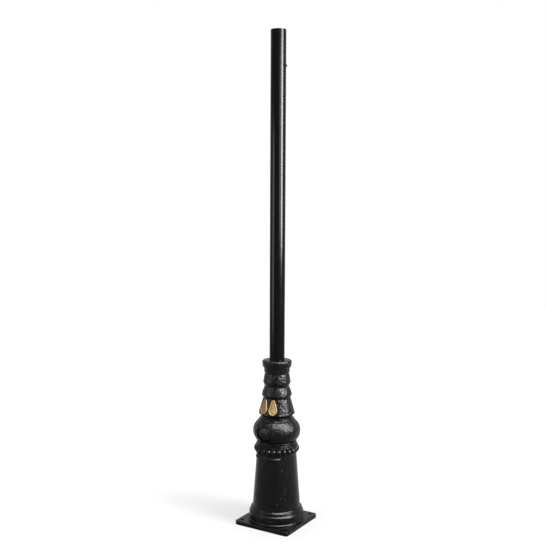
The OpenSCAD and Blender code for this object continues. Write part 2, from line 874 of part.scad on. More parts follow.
module terminal_clamps() {
  color(brass) clamps(clamp_d / 2 - thread_play, board_back - block_t + 1);
}

module block_screws() {
  color(zinc)
    for (s = [-1, 1])
      translate([s * block_screw_x, 0, 0])
        mirror([0, 1, 0])
          inner_screw(block_screw_d, 3.8, 3, board_back - block_t + 12, block_t - 12 + board_t, block_z);
}

module earth_stud() {
  color(brass)
    at_turn(-90)
      spoke(earth_stud_d / 2 - thread_play, earth_boss_face + earth_stud_in - earth_stud_l,
        earth_boss_face + earth_stud_in, earth_z);
}

module earth_washers() {
  color(brass)
    at_turn(-90) for (face = [earth_boss_face, earth_boss_face - washer_t - nut_t])
      difference() {
        spoke(earth_stud_d, face - washer_t, face, earth_z);
        spoke(earth_stud_d / 2 + 0.2, 0, face + past, earth_z);
      }
}

module earth_nuts() {
  color(brass)
    at_turn(-90) for (face = [earth_boss_face - washer_t, earth_boss_face - 2 * washer_t - nut_t])
      difference() {
        translate([0, -(face - nut_t), earth_z])
          rotate([90, 0, 0]) cylinder(d = nut_af / cos(30), h = nut_t, $fn = 6);
        spoke(earth_stud_d / 2, 0, face + past, earth_z);
      }
}

pedestal();
access_door();
door_screw();
crest_collar();
crest_left();
crest_right();
lower_ring();
upper_ring();
top_collar();
shaft_tube();
lantern_screw();
shaft_screws();
collar_screws();
cable_board();
board_screws();
terminal_block();
terminal_barrels();
terminal_clamps();
block_screws();
earth_stud();
earth_washers();
earth_nuts();
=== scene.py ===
# %% [markdown]
# # A heritage lamp post in black enamel
#
# The real post is a cast iron pedestal, four loose castings threaded over a steel tube, and the tube.
# All of it is sprayed with gloss black enamel, and two small ornaments are picked out in gold paint.
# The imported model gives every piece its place, so the first cell loads it and notes its box.

# %% The frame
import json
import math

import bmesh
import bpy
from mathutils import Matrix, Vector, noise


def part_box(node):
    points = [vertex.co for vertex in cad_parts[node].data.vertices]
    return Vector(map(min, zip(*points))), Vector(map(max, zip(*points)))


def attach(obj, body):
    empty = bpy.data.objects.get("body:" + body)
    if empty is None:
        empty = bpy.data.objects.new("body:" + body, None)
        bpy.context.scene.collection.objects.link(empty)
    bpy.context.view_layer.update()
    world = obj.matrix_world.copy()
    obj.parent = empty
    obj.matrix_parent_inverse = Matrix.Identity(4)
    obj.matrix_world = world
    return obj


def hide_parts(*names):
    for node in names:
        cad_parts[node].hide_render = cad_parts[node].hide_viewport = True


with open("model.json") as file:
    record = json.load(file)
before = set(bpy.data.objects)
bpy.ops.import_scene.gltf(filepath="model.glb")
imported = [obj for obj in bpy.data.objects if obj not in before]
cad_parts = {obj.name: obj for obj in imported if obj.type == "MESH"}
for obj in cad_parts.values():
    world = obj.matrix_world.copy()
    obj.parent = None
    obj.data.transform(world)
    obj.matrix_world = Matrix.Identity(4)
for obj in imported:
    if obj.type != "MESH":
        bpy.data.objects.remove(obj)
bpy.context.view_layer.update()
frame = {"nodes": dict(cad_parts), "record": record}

# %% [markdown]
# ## Sizes from the frame
#
# The frame knows where each piece starts and ends. Those sizes are read from it in millimetres, the
# unit of every shape below, so that the dressed pieces meet where the solids meet. Only what a box
# can't tell, such as a round or a wall, is written down further on.

# %% Sizes from the frame
MM = 0.001
ACROSS, UP = 0, 2


def span(node, axis):
    """Where a node of the frame starts and ends along an axis, in millimetres."""
    return [round(corner[axis] / MM, 2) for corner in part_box(node)]


PLATE_W = 2 * span("pedestal", ACROSS)[1]
SPIGOT_TOP_Z = span("pedestal", UP)[1]
NECK_Z, CREST_TOP_Z = span("crest_collar", UP)
CREST_LOW_R = span("crest_collar", ACROSS)[1]
LOWER_TOP_Z = span("lower_ring", UP)[1]
UPPER_TOP_Z = span("upper_ring", UP)[1]
COLLAR_TOP_Z = span("top_collar", UP)[1]
LEDGE_Z, TUBE_TOP_Z = span("shaft_tube", UP)
TUBE_R = span("shaft_tube", ACROSS)[1]
DOOR_X = span("access_door", ACROSS)[1]
DOOR_LOW_Z, DOOR_TOP_Z = span("access_door", UP)
ORNAMENT_Z = span("crest_left", UP)[0]
print("castings meet at", NECK_Z, CREST_TOP_Z, LOWER_TOP_Z, UPPER_TOP_Z, COLLAR_TOP_Z)
print("plate", PLATE_W, "tube", LEDGE_Z, TUBE_TOP_Z, "door", DOOR_LOW_Z, DOOR_TOP_Z)

# %% [markdown]
# ## The camera
#
# The photograph was taken from about four metres, a little above eye level, looking slightly down,
# and from the right of the door. The camera is placed by those plain facts: how far, how high, how
# far round, and three small tilts. The focal length is known in pixels of the photograph.

# %% Camera
def put(name, data):
    """Puts an object into the scene."""
    made = bpy.data.objects.new(name, data)
    bpy.context.scene.collection.objects.link(made)
    return made


PHOTO_PX = 546
SENSOR_MM = 36
FOCAL_PX = 835.5
camera_turn = math.radians(31.3)
camera_distance = 4.110
camera_height = 1.641
camera_pitch = math.radians(5.277)
camera_yaw = math.radians(-0.305)
camera_roll = math.radians(0.235)

camera_data = bpy.data.cameras.new("camera")
camera_data.sensor_width = SENSOR_MM
camera_data.lens = SENSOR_MM * FOCAL_PX / PHOTO_PX
camera = put("camera", camera_data)
camera.matrix_world = (
    Matrix.Rotation(camera_turn, 4, "Z")
    @ Matrix.Translation((0, -camera_distance, camera_height))
    @ Matrix.Rotation(-camera_yaw, 4, "Z")
    @ Matrix.Rotation(math.pi / 2 - camera_pitch, 4, "X")
    @ Matrix.Rotation(camera_roll, 4, "Z")
)
bpy.context.scene.camera = camera
print("lens", round(camera_data.lens, 2), "mm")

# %% [markdown]
# ## Helpers for materials
#
# A finish is a small tree of nodes. Colours are written as hex values, as in a paint chart, and one
# function turns them to the linear values that the renderer wants. Another adds a node and joins its
# inputs, so that a whole tree reads from top to bottom like a recipe.

# %% Colours and nodes
def linear(hex_colour):
    """The linear colour of an sRGB hex value."""
    parts = [int(hex_colour[i : i + 2], 16) / 255 for i in (1, 3, 5)]
    return [c / 12.92 if c <= 0.04045 else ((c + 0.055) / 1.055) ** 2.4 for c in parts] + [1]


def add(tree, kind, inputs=None, **settings):
    """Adds a node with its settings, and sets or links its inputs."""
    made = tree.nodes.new(kind)
    for name, value in settings.items():
        setattr(made, name, value)
    for name, value in (inputs or {}).items():
        if isinstance(value, bpy.types.NodeSocket):
            tree.links.new(value, made.inputs[name])
        else:
            made.inputs[name].default_value = value
    return made


def new_material(name):
    """An empty material, its tree, and the place of each point on the object in metres."""
    material = bpy.data.materials.new(name)
    material.use_nodes = True
    tree = material.node_tree
    tree.nodes.clear()
    return material, tree, add(tree, "ShaderNodeTexCoord").outputs["Object"]


# %% [markdown]
# ## The steps of a recipe
#
# Every finish is built from the same few steps: a pattern of a real size, its values spread over a
# range, two colours mixed by it, and a relief. As functions they take their sizes in millimetres.

# %% Steps of a recipe
def pattern(tree, place, size_mm, detail=2, stretch=(1, 1, 1)):
    """Noise whose lumps are about size_mm across, drawn out where stretch is above one."""
    scaled = add(tree, "ShaderNodeMapping", {"Vector": place, "Scale": [1 / s for s in stretch]})
    noise_inputs = {"Vector": scaled.outputs["Vector"], "Scale": 1000 / size_mm, "Detail": detail}
    return add(tree, "ShaderNodeTexNoise", noise_inputs).outputs["Fac"]


def spread(tree, value, low, high, start=0.3, end=0.7):
    """Spreads the values from start to end over low to high."""
    inputs = {"Value": value, "From Min": start, "From Max": end, "To Min": low, "To Max": high}
    return add(tree, "ShaderNodeMapRange", inputs).outputs["Result"]


def blend_colours(tree, share, first, second):
    """Goes from the first hex colour to the second as share goes from 0 to 1."""
    ramp = add(tree, "ShaderNodeValToRGB", {"Fac": share})
    ramp.color_ramp.elements[0].color = linear(first)
    ramp.color_ramp.elements[1].color = linear(second)
    return ramp.outputs["Color"]


def relief(tree, height, depth_mm, strength=1.0, over=None):
    """A bump whose full range is depth_mm deep, laid over another one if that is given."""
    inputs = {"Height": height, "Distance": depth_mm / 1000, "Strength": strength}
    if over:
        inputs["Normal"] = over
    return add(tree, "ShaderNodeBump", inputs).outputs["Normal"]


def surface(tree, **inputs):
    """The shader and the output, which end every tree; an underscore in a name is a space."""
    named = {name.replace("_", " "): value for name, value in inputs.items()}
    shader = add(tree, "ShaderNodeBsdfPrincipled", named)
    add(tree, "ShaderNodeOutputMaterial", {"Surface": shader.outputs["BSDF"]})


# %% [markdown]
# ## Black enamel on sand-cast iron
#
# Two coats of gloss alkyd enamel sit on iron that was poured in sand. The paint is smooth and deep
# black, but it follows the lumps that the sand left, so each highlight breaks up into sparks. The
# tapered body was ground smoother than the mouldings and rings above it, and only a few nibs of dried
# paint stand out on it. Rust and dust are left out: the post is new.
#
# The lumps could be modelled, but they are finer than the mesh, so they are a bump. They are really 3
# to 5 mm across and are drawn 12 mm across and deeper, because finer ones would melt together from
# four metres away. Enamel has a specular level near 0.5. Here it is far lower: this post stands in
# white surroundings on every side, which would turn the black to grey.

# %% Enamel on iron
SAND_MM, SAND_DEPTH = 12, 4.8
NIB_MM, NIB_DEPTH = 8, 0.7
FILM_MM = 60
GROUND_STRENGTH, BODY_END, RINGS_START = 0.35, 0.34, 0.45
ENAMEL_GLOSS = 0.08


def enamel_on_iron():
    """Deep black with broken highlights, smoother on the body than on the rings."""
    material, tree, place = new_material("gloss_enamel_on_sand_cast_iron")
    height = add(tree, "ShaderNodeSeparateXYZ", {"Vector": place}).outputs["Z"]
    ground = spread(tree, height, GROUND_STRENGTH, 1, BODY_END, RINGS_START)
    sand = pattern(tree, place, SAND_MM, detail=3)
    nibs = spread(tree, pattern(tree, place, NIB_MM, detail=1), 0, 1, 0.64, 0.72)
    film = pattern(tree, place, FILM_MM, detail=5)
    surface(
        tree,
        Base_Color=blend_colours(tree, film, "#060607", "#0d0d0e"),
        Roughness=spread(tree, film, 0.2, 0.3),
        Specular_IOR_Level=ENAMEL_GLOSS,
        Normal=relief(tree, sand, SAND_DEPTH, ground, over=relief(tree, nibs, NIB_DEPTH)),
    )
    return material


# %% [markdown]
# ## Black enamel on the steel tube
#
# The tube is drawn steel, so the same enamel lies flat on it and its highlight is one clean band. Only
# long faint waves are left, where the wet paint sagged a little down the tube. A flat coat mirrors the
# lamps whole, where the lumps of the castings scatter them, so its specular level is lower still.

# %% Enamel on steel
SAG_MM, SAG_DEPTH, SAG_LENGTHS = 25, 0.06, 9
TUBE_FILM_MM = 90
TUBE_GLOSS = 0.055


def enamel_on_steel():
    """The same black, smooth, with one long highlight."""
    material, tree, place = new_material("gloss_enamel_on_steel_tube")
    sag = pattern(tree, place, SAG_MM, detail=1, stretch=(1, 1, SAG_LENGTHS))
    film = pattern(tree, place, TUBE_FILM_MM, detail=4)
    surface(
        tree,
        Base_Color=blend_colours(tree, film, "#070608", "#0b0a0d"),
        Roughness=spread(tree, film, 0.17, 0.2),
        Specular_IOR_Level=TUBE_GLOSS,
        Normal=relief(tree, sag, SAG_DEPTH),
    )
    return material


# %% [markdown]
# ## Gold paint on the ornaments
#
# The two ornaments are picked out by hand with bronze-powder paint. The sunk field is darkened with
# painted
# shade: the colour goes from bright gold on the raised rim to thin brown down in the field, where shade
# falls. Two materials could do that, but the shade has no sharp edge, so the colour follows how far a
# point stands out from the wall of the collar. That wall is a cone, whose radius at each height is worked
# out in the tree.

# %% Gold paint
CREST_TOP_R, CREST_LOW_Z = 70.5, 562
# Where the painted shade of the field ends and full gold begins, out from the cone, and how much that edge
# wavers
SHADED_FIELD_OUT, BRIGHT_OUT, SHADE_EDGE_WAVER = 0.0016, 0.0040, 0.0012


def gold_paint():
    """Warm and half metallic on the rim, with painted shade turning the sunk field dull brown."""
    material, tree, place = new_material("bronze_powder_gold_paint")
    parts = add(tree, "ShaderNodeSeparateXYZ", {"Vector": place}).outputs
    flat = add(tree, "ShaderNodeCombineXYZ", {"X": parts["X"], "Y": parts["Y"]}).outputs["Vector"]
    reach = add(tree, "ShaderNodeVectorMath", {0: flat}, operation="LENGTH").outputs["Value"]
    cone = spread(
        tree, parts["Z"], CREST_LOW_R * MM, CREST_TOP_R * MM, CREST_LOW_Z * MM, CREST_TOP_Z * MM
    )
    out = add(tree, "ShaderNodeMath", {0: reach, 1: cone}, operation="SUBTRACT").outputs["Value"]
    # Painted shade: the lower a point lies towards the collar, the browner it is, with a noisy edge
    shade_edge_noise = pattern(tree, place, 3, 3)
    shade_waver = add(tree, "ShaderNodeMath", {0: shade_edge_noise, 1: SHADE_EDGE_WAVER}, operation="MULTIPLY")
    wavy_reach = add(tree, "ShaderNodeMath", {0: out, 1: shade_waver.outputs["Value"]}, operation="SUBTRACT")
    bright = spread(tree, wavy_reach.outputs["Value"], 0, 1, SHADED_FIELD_OUT, BRIGHT_OUT)
    surface(
        tree,
        # Brown is painted shade in the sunk field; the gold is the paint on the raised rim
        Base_Color=blend_colours(tree, bright, "#3a2406", "#b4841f"),
        Metallic=spread(tree, bright, 0.1, 0.3, 0, 1),
        Roughness=spread(tree, bright, 0.7, 0.5, 0, 1),
        Normal=relief(tree, pattern(tree, place, 1.5), 0.12),
    )
    return material


# %% [markdown]
# ## Screw heads, zinc, brass, plywood and nylon
#
# Outside, the screw heads are painted over with the post by brush, a little duller than the spray.
# Inside the pedestal the screws are bright zinc, faintly clouded because the plating grew in crystals.
# The terminals are turned brass, with fine rings from the lathe, in a moulded nylon block with a soft
# even sheen. The board is plywood, whose long grain lies under clear varnish. Nobody sees these with
# the door shut, but each still gets the finish of the real one. One function makes the last four:
# colour and gloss follow one pattern and the relief another, which on the plywood is the grain again.

# %% Finishes of the small parts
def enamel_on_screws():
    """Brushed black paint, slightly lumpy."""
    material, tree, place = new_material("gloss_enamel_on_screw_heads")
    surface(
        tree,
        Base_Color=linear("#0a0a0b"),
        Roughness=spread(tree, pattern(tree, place, 4), 0.2, 0.34),
        Specular_IOR_Level=ENAMEL_GLOSS,
        Normal=relief(tree, pattern(tree, place, 2), 0.1),
    )
    return material


def clouded(name, clouds, colours, roughness, fine, depth_mm, **more):
    """A finish from two patterns, each given by its size, its detail and its stretch."""
    material, tree, place = new_material(name)
    share = pattern(tree, place, *clouds)
    surface(
        tree,
        Base_Color=blend_colours(tree, share, *colours),
        Roughness=spread(tree, share, *roughness),
        Normal=relief(tree, pattern(tree, place, *fine), depth_mm),
        **more,
    )
    return material


GRAIN = (3, 4, (1, 1, 22))
LATHE = (0.8, 1, (1, 1, 0.2))
zinc = clouded(
    "bright_zinc_plated_steel", (5, 4), ("#a9adb0", "#c3c7ca"), (0.25, 0.4), (1,), 0.02, Metallic=1
)
brass = clouded("turned_brass", (8, 3), ("#b08a3c", "#d3ae5a"), (0.22, 0.36), LATHE, 0.02, Metallic=1)
nylon = clouded("moulded_nylon", (12, 3), ("#d2ccb8", "#e0dbc9"), (0.4, 0.5), (0.7,), 0.02)
plywood = clouded(
    "varnished_birch_plywood", GRAIN, ("#7b4f2b", "#b98a55"), (0.45, 0.6), GRAIN, 0.1,
    Coat_Weight=0.6, Coat_Roughness=0.15
)
print("made", zinc.name, brass.name, nylon.name, plywood.name)

# %% [markdown]
# ## A finish for every piece of the frame
#
# The small pieces keep the shape they have in the frame and only change their finish. The large ones
# are modelled again further down, with softer edges and the lumps of the casting.

# %% Finishes for the frame's pieces
finishes = {
    "black_castings": enamel_on_iron(),
    "black_tube": enamel_on_steel(),
    "gilt": gold_paint(),
    "black_screws": enamel_on_screws(),
    "zinc_screws": zinc,
    "brass": brass,
    "board": plywood,
    "terminal_plastic": nylon,
}
slots = {part["node"]: part["material_slot"] for part in frame["record"]["subparts"]}
for name, node in frame["nodes"].items():
    node.data.materials.clear()
    node.data.materials.append(finishes[slots[name]])
print(len(slots), "pieces,", len(finishes), "finishes")

# %% [markdown]
# ## Turning a casting
#
# The castings are figures of revolution, as a wooden pattern turned on a lathe leaves them. A pen
# draws half of the section in millimetres: a straight run adds a point by extruding the last one, and
# a round run spins it about a centre. A corner may be softened by bevelling its point. The closed
# section is then spun once round, which gives a hollow solid with its bore in one go.

# %% The pen and the lathe
ROUND_STEP = 8
LONG_RUN = 3.5


def run_to(shape, point, place):
    """Draws a straight run from a point to a place, and gives its end."""
    end = bmesh.ops.extrude_vert_indiv(shape, verts=[point])["verts"][0]
    end.co = place
    return end


def swing(shape, point, centre, angle, steps, axis=(0, -1, 0)):
    """Draws a round run from a point about a centre, and gives its end."""
    turn = bmesh.ops.spin(shape, geom=[point], cent=centre, axis=axis, angle=angle, steps=steps)
    return turn["geom_last"][0]


def draw_section(steps):
    """Draws a closed section in the X-Z plane: (r, z), (r, z, soft) or ("arc", r, z, degrees)."""
    pen = bmesh.new()
    first = last = pen.verts.new((steps[0][0], 0, steps[0][1]))
    soft = {}
    for step in steps[1:]:
        if step[0] == "arc":
            _, r, z, degrees = step
            turns = max(3, round(abs(degrees) / ROUND_STEP))
            last = swing(pen, last, (r, 0, z), math.radians(degrees), turns)
        else:
            last = run_to(pen, last, (step[0], 0, step[1]))
            if len(step) == 3:
                soft.setdefault(step[2], []).append(last)
    pen.edges.new((last, first))
    for size, corners in soft.items():
        bmesh.ops.bevel(
            pen, geom=corners, offset=size, segments=3, profile=0.5, affect="VERTICES", material=-1
        )
    return pen


def divide_runs(shape, longest=LONG_RUN):
    """Puts points along the straight runs, so that the cast relief has something to move."""
    for edge in [e for e in shape.edges if e.calc_length() > longest]:
        cuts = int(edge.calc_length() / longest)
        bmesh.ops.subdivide_edges(shape, edges=[edge], cuts=cuts)


def spin_round(shape, steps=224, degrees=360):
    """Spins a drawn section about the post's axis, starting in the X-Z plane."""
    full = degrees == 360
    ends = shape.verts[:] + shape.edges[:]
    if not full:
        ends += bmesh.ops.contextual_create(shape, geom=shape.edges[:])["faces"]
    bmesh.ops.spin(
        shape, geom=ends, cent=(0, 0, 0), axis=(0, 0, 1), angle=math.radians(degrees), steps=steps,
        use_merge=full
    )
    bmesh.ops.recalc_face_normals(shape, faces=shape.faces)
    return shape


# %% [markdown]
# ## The skin of a sand casting
#
# Iron poured in sand comes out with a soft, uneven skin that paint smooths but doesn't hide. Each
# point outside a given radius is moved a fraction of a millimetre inwards by three sizes of noise, so
# a bore stays true. It only moves inwards, so no casting grows past its drawn size.

# %% Relief
GRAIN_SHARES = (0.5, 0.3, 0.2)


def out_from_axis(vert):
    """How far a point is from the post's axis."""
    return math.hypot(vert.co.x, vert.co.y)


def roughen(shape, depth, inner_r=0.0, grain=(42, 17, 8)):
    """Moves points inwards along their normals; depth and grain are in millimetres."""
    shape.normal_update()
    for vert in shape.verts:
        if out_from_axis(vert) < inner_r:
            continue
        lift = sum(noise.noise(vert.co / size) * share for size, share in zip(grain, GRAIN_SHARES))
        vert.co -= vert.normal * depth * (0.5 + lift)


def turned(steps, depth, inner_r):
    """A turned casting in millimetres, with its relief outside inner_r."""
    shape = draw_section(steps)
    divide_runs(shape)
    spin_round(shape)
    roughen(shape, depth, inner_r)
    return shape


# %% [markdown]
# ## Small tools of the workshop
#
# A few moves come back in many pieces: an edge filed round, a straight saw cut, a turn about the
# post's axis, and plain cylinders and balls that become holes, bosses and beads. Each is one operator
# or two, kept here with the settings that suit millimetres.

# %% Files, saws and blanks
def soften(shape, edges, size, steps=3):
    """Files edges round."""
    bmesh.ops.bevel(
        shape, geom=edges, offset=size, segments=steps, profile=0.5, affect="EDGES", material=-1
    )


def points_of(geometry):
    """The points in what an operator made."""
    return [v for v in geometry if isinstance(v, bmesh.types.BMVert)]


def saw(shape, place, way, keep=True):
    """Cuts through a shape at a plane; what lies beyond it goes unless it is kept."""
    whole = shape.verts[:] + shape.edges[:] + shape.faces[:]
    bmesh.ops.bisect_plane(shape, geom=whole, plane_co=place, plane_no=way, clear_outer=not keep)


def turn_round(shape, degrees):
    """Turns a shape about the post's axis."""
    turn = Matrix.Rotation(math.radians(degrees), 3, "Z")
    bmesh.ops.rotate(shape, cent=(0, 0, 0), matrix=turn, verts=shape.verts)


def ball(radius, place, around=20, rows=12):
    """A closed ball at a place."""
    shape = bmesh.new()
    bmesh.ops.create_uvsphere(shape, u_segments=around, v_segments=rows, radius=radius)
    bmesh.ops.translate(shape, vec=place, verts=shape.verts)
    return shape


def cylinder(radius, start, end, segments=48):
    """A closed cylinder between two points."""
    start, end = Vector(start), Vector(end)
    shape = bmesh.new()
    bmesh.ops.create_cone(
        shape, cap_ends=True, segments=segments, radius1=radius, radius2=radius,
        depth=(end - start).length
    )
    turn = (end - start).to_track_quat("Z", "Y").to_matrix().to_4x4()
    middle = Matrix.Translation((start + end) / 2)
    bmesh.ops.transform(shape, matrix=middle @ turn, verts=shape.verts)
    return shape


def spoke(radius, turn, start, end, z, segments=48):
    """A cylinder that points away from the axis, turned from the door side."""
    way = Vector((math.sin(math.radians(turn)), -math.cos(math.radians(turn)), 0))
    rise = Vector((0, 0, z))
    return cylinder(radius, way * start + rise, way * end + rise, segments)


# %% [markdown]
# ## From shapes to pieces
#
# A finished piece is scaled to metres and keeps its object at the origin. Pieces that were cast in one
# are joined by a Boolean union, as the iron ran together, and holes are cut by a difference. That only
# works on closed shapes, so each one is tested for open edges on its way.

# %% Pieces
def joined(shapes):
    """Puts several separate shapes into one."""
    whole = bmesh.new()
    for shape in shapes:
        part = bpy.data.meshes.new("part")
        shape.to_mesh(part)
        shape.free()
        whole.from_mesh(part)
        bpy.data.meshes.remove(part)
    return whole


def as_object(shape, name):
    """Turns a shape in millimetres into an object in metres."""
    loose = [e for e in shape.edges if len(e.link_faces) != 2]
    print(name, len(shape.verts), "points,", len(loose), "open edges")
    mesh = bpy.data.meshes.new(name)
    bmesh.ops.scale(shape, vec=(MM, MM, MM), verts=shape.verts)
    shape.to_mesh(mesh)
    shape.free()
    return put(name, mesh)


def combine(piece, tools, operation):
    """Joins tools to a piece or cuts them out of it, and uses them up."""
    for tool in tools:
        cut = piece.modifiers.new(operation.lower(), "BOOLEAN")
        cut.solver = "MANIFOLD"
        cut.operation = operation
        cut.object = tool
    bpy.context.view_layer.update()
    seen = piece.evaluated_get(bpy.context.evaluated_depsgraph_get())
    mesh = bpy.data.meshes.new_from_object(seen)
    piece.modifiers.clear()
    piece.data = mesh
    for tool in tools:
        bpy.data.objects.remove(tool)


def finish_piece(piece, node, slot="black_castings", crease=38):
    """Gives a piece the finish of a slot, its shading and its body, and hides the frame's node that it
    stands for.
    """
    piece.data.materials.clear()
    piece.data.materials.append(finishes[slot])
    piece.data.shade_smooth()
    piece.data.set_sharp_from_angle(angle=math.radians(crease))
    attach(piece, "root")
    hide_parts(node)
    print(piece.name, len(piece.data.polygons), "faces")


# %% [markdown]
# ## The pedestal
#
# The pedestal is one casting from the square plate to the top of the bulb. Its turned part is one
# closed section: up the outside over the plinth, the tapered body, the gadroon ring and the bulb to
# the spigot, and back down the inside round the socket that holds the tube. Drawing both sides in one
# go keeps the wall even, which a Boolean hollow wouldn't.

# %% Turned part of the pedestal
PLATE_T = 19
BODY_Z, RING_Z = 90, 357
BODY_LOW_R, BODY_TOP_R = 119.6, 100.3
BULB_Z, BULB_R, BULB_SIDE_R = 472, 120, 64
BULB_CENTRE_R = BULB_R - BULB_SIDE_R
WALL = 8
TUBE_PLAY = 0.5
BORE_R = TUBE_R + TUBE_PLAY
SOCKET_OUT_R, SOCKET_LOW_Z = 48.55, 352
PEDESTAL_SKIN = 0.5


def body_r(z):
    """Radius of the tapered body at a height."""
    return BODY_LOW_R + (BODY_TOP_R - BODY_LOW_R) * (z - BODY_Z) / (RING_Z - BODY_Z)


PEDESTAL_SECTION = [
    # Plinth with its round top
    (129, 0), (141, 0), (141, 25, 2), (137, 27, 1), (137, 58), ("arc", 130, 58, 72), (129.1, 68, 1),
    # Mouldings at the foot of the body
    (129.6, 70, 1), (128.95, 73), ("arc", 125.6, 76, 131.8), (120.6, 84, 1.5), (BODY_LOW_R, BODY_Z, 2),
    # Tapered body and gadroon ring
    (BODY_TOP_R, RING_Z, 1), (102.3, 362), (104.3, 396.3), ("arc", 102.8, 400, 150), (98.3, 406, 0.6),
    (98.3, 408.04), ("arc", 97.8, 411, 160.8), (98.3, 418), ("arc", 98.3, 421, 180),
    # Bulb and its neck
    ("arc", BULB_CENTRE_R, BULB_Z, 106.1), (91.5, 530, 0.5), (86, 533, 0.8), (85.5, 537, 1),
    (81, 540, 0.8), (79.5, 541, 0.6), (79.5, NECK_Z),
    # Spigot under the crest collar
    (71, NECK_Z), (71, 549), (59.55, 549, 1), (55.55, 553, 1), (55.55, 599), (53.55, SPIGOT_TOP_Z),
    # Down the socket to the ledge that carries the tube
    (BORE_R, SPIGOT_TOP_Z), (BORE_R, LEDGE_Z), (28.05, LEDGE_Z), (28.05, SOCKET_LOW_Z),
    # Up round the socket and down the hollow inside
    (SOCKET_OUT_R, SOCKET_LOW_Z), (SOCKET_OUT_R, 527.5), ("arc", BULB_CENTRE_R, BULB_Z, -156.6),
    (90.3, 424, 2), (90.3, 404), (92.3, RING_Z), (111.6, BODY_Z), (121.1, 58), (129, 50),
]
pedestal = as_object(turned(PEDESTAL_SECTION, PEDESTAL_SKIN, 60), "pedestal_casting")

# %% [markdown]
# ## The base plate
#
# A square slab with rounded corners and an open middle for the cable. Its edges are wavy in the
# photograph, because the sand at the mould's joint crumbles. A bevelled cube is sawn finely in both
# directions, which gives the deeper relief enough points to move.

# %% Base plate
PLATE_ROUND, PLATE_EDGE, PLATE_SKIN = 15, 2, 1.0
PLATE_STRIPS, PLATE_LAYERS = 48, 4
FOOT_HOLE_R = 134
FLOOR_TOUCH = 1.2


def base_plate():
    """The plate before its holes are cut."""
    shape = bmesh.new()
    size = Matrix.Diagonal((PLATE_W, PLATE_W, PLATE_T, 1))
    bmesh.ops.create_cube(shape, size=1, matrix=Matrix.Translation((0, 0, PLATE_T / 2)) @ size)
    soften(shape, [e for e in shape.edges if abs(e.verts[0].co.z - e.verts[1].co.z) > 1], PLATE_ROUND, 8)
    soften(shape, [e for e in shape.edges if all(v.co.z > 1 for v in e.verts)], PLATE_EDGE)
    for axis in (Vector((1, 0, 0)), Vector((0, 1, 0))):
        for i in range(1, PLATE_STRIPS):
            saw(shape, axis * (-PLATE_W / 2 + PLATE_W * i / PLATE_STRIPS), axis)
    for i in range(1, PLATE_LAYERS):
        saw(shape, (0, 0, PLATE_T * i / PLATE_LAYERS), (0, 0, 1))
    roughen(shape, PLATE_SKIN, grain=(30, 12, 5))
    for vert in shape.verts:
        if vert.co.z < FLOOR_TOUCH:
            vert.co.z = 0
    return shape


plate = as_object(base_plate(), "plate")
combine(plate, [as_object(cylinder(FOOT_HOLE_R, (0, 0, -5), (0, 0, 30), 96), "foot_hole")], "DIFFERENCE")

# %% [markdown]
# ## The gadroon ring
#
# A gadroon is a row of hanging lobes, carved in wood and then cast. Each lobe is a short section that
# is fat above and thin below, spun about its own axis and set round the ring. Neighbours overlap, so
# every other lobe goes into one tool and the rest into a second, which keeps both tools clean.

# %% Gadroon lobes
LOBE_N, LOBE_R, LOBE_TIP_R, LOBE_DROP = 24, 14, 12.5, 3.5
LOBE_Z, LOBE_AXIS_R, LOBE_SKIN = 381.5, 101.3, 0.6
LOBE_LEAN = math.asin((LOBE_R - LOBE_TIP_R) / LOBE_DROP)


def lobe(turn):
    """One lobe: a small round tip, a straight flank and a fat round top."""
    shape = bmesh.new()
    low = shape.verts.new((0, 0, -LOBE_DROP - LOBE_TIP_R))
    tip = swing(shape, low, (0, 0, -LOBE_DROP), math.pi / 2 - LOBE_LEAN, 5)
    side = run_to(shape, tip, (LOBE_R * math.cos(LOBE_LEAN), 0, -LOBE_R * math.sin(LOBE_LEAN)))
    swing(shape, side, (0, 0, 0), math.pi / 2 + LOBE_LEAN, 7)
    spin_round(shape, 24)
    bmesh.ops.remove_doubles(shape, verts=shape.verts, dist=0.01)
    bmesh.ops.recalc_face_normals(shape, faces=shape.faces)
    place = Matrix.Translation((0, -LOBE_AXIS_R, LOBE_Z))
    place = Matrix.Rotation(math.radians(turn), 4, "Z") @ place
    bmesh.ops.transform(shape, matrix=place, verts=shape.verts)
    roughen(shape, LOBE_SKIN, grain=(14, 9, 6))
    return shape


lobe_turns = [(i + 0.5) * 360 / LOBE_N for i in range(LOBE_N)]
even_lobes = as_object(joined([lobe(turn) for turn in lobe_turns[::2]]), "even_lobes")
odd_lobes = as_object(joined([lobe(turn) for turn in lobe_turns[1::2]]), "odd_lobes")

# %% [markdown]
# ## The hood over the door
#
# A short length of moulding keeps rain out of the door. Its section is spun through part of a turn,
# centred on the door, and two slanted saw cuts give it the raked ends of the real one.

# %% Hood
HOOD_LOW_Z, HOOD_TOP_Z, HOOD_LIP, HOOD_TOP = 343, 361, 11, 5.5
HOOD_SPAN, HOOD_RAKE, HOOD_SKIN = 86, 5, 0.4
FRONT_DEGREES, FRONT_STEPS = 110, 64
# Height, distance out from the body's wall, and the round of the corner
HOOD_SECTION = [
    (HOOD_LOW_Z, -4), (HOOD_LOW_Z, 9.5, 0.6), (345, HOOD_LIP, 0.6), (348, HOOD_LIP, 1), (355.5, 4.5, 1),
    (357, HOOD_TOP, 0.5), (HOOD_TOP_Z, HOOD_TOP, 1.8), (HOOD_TOP_Z, -4),
]


def half_turned(section, degrees, divide=LONG_RUN):
    """Part of a turn, centred on the door side."""
    shape = draw_section(section)
    divide_runs(shape, divide)
    spin_round(shape, FRONT_STEPS, degrees)
    turn_round(shape, -90 - degrees / 2)
    return shape


def trim(shape, place, outward):
    """Saws a closed shape off at a plane and closes it again."""
    saw(shape, place, outward, keep=False)
    bmesh.ops.contextual_create(shape, geom=[e for e in shape.edges if e.is_boundary])


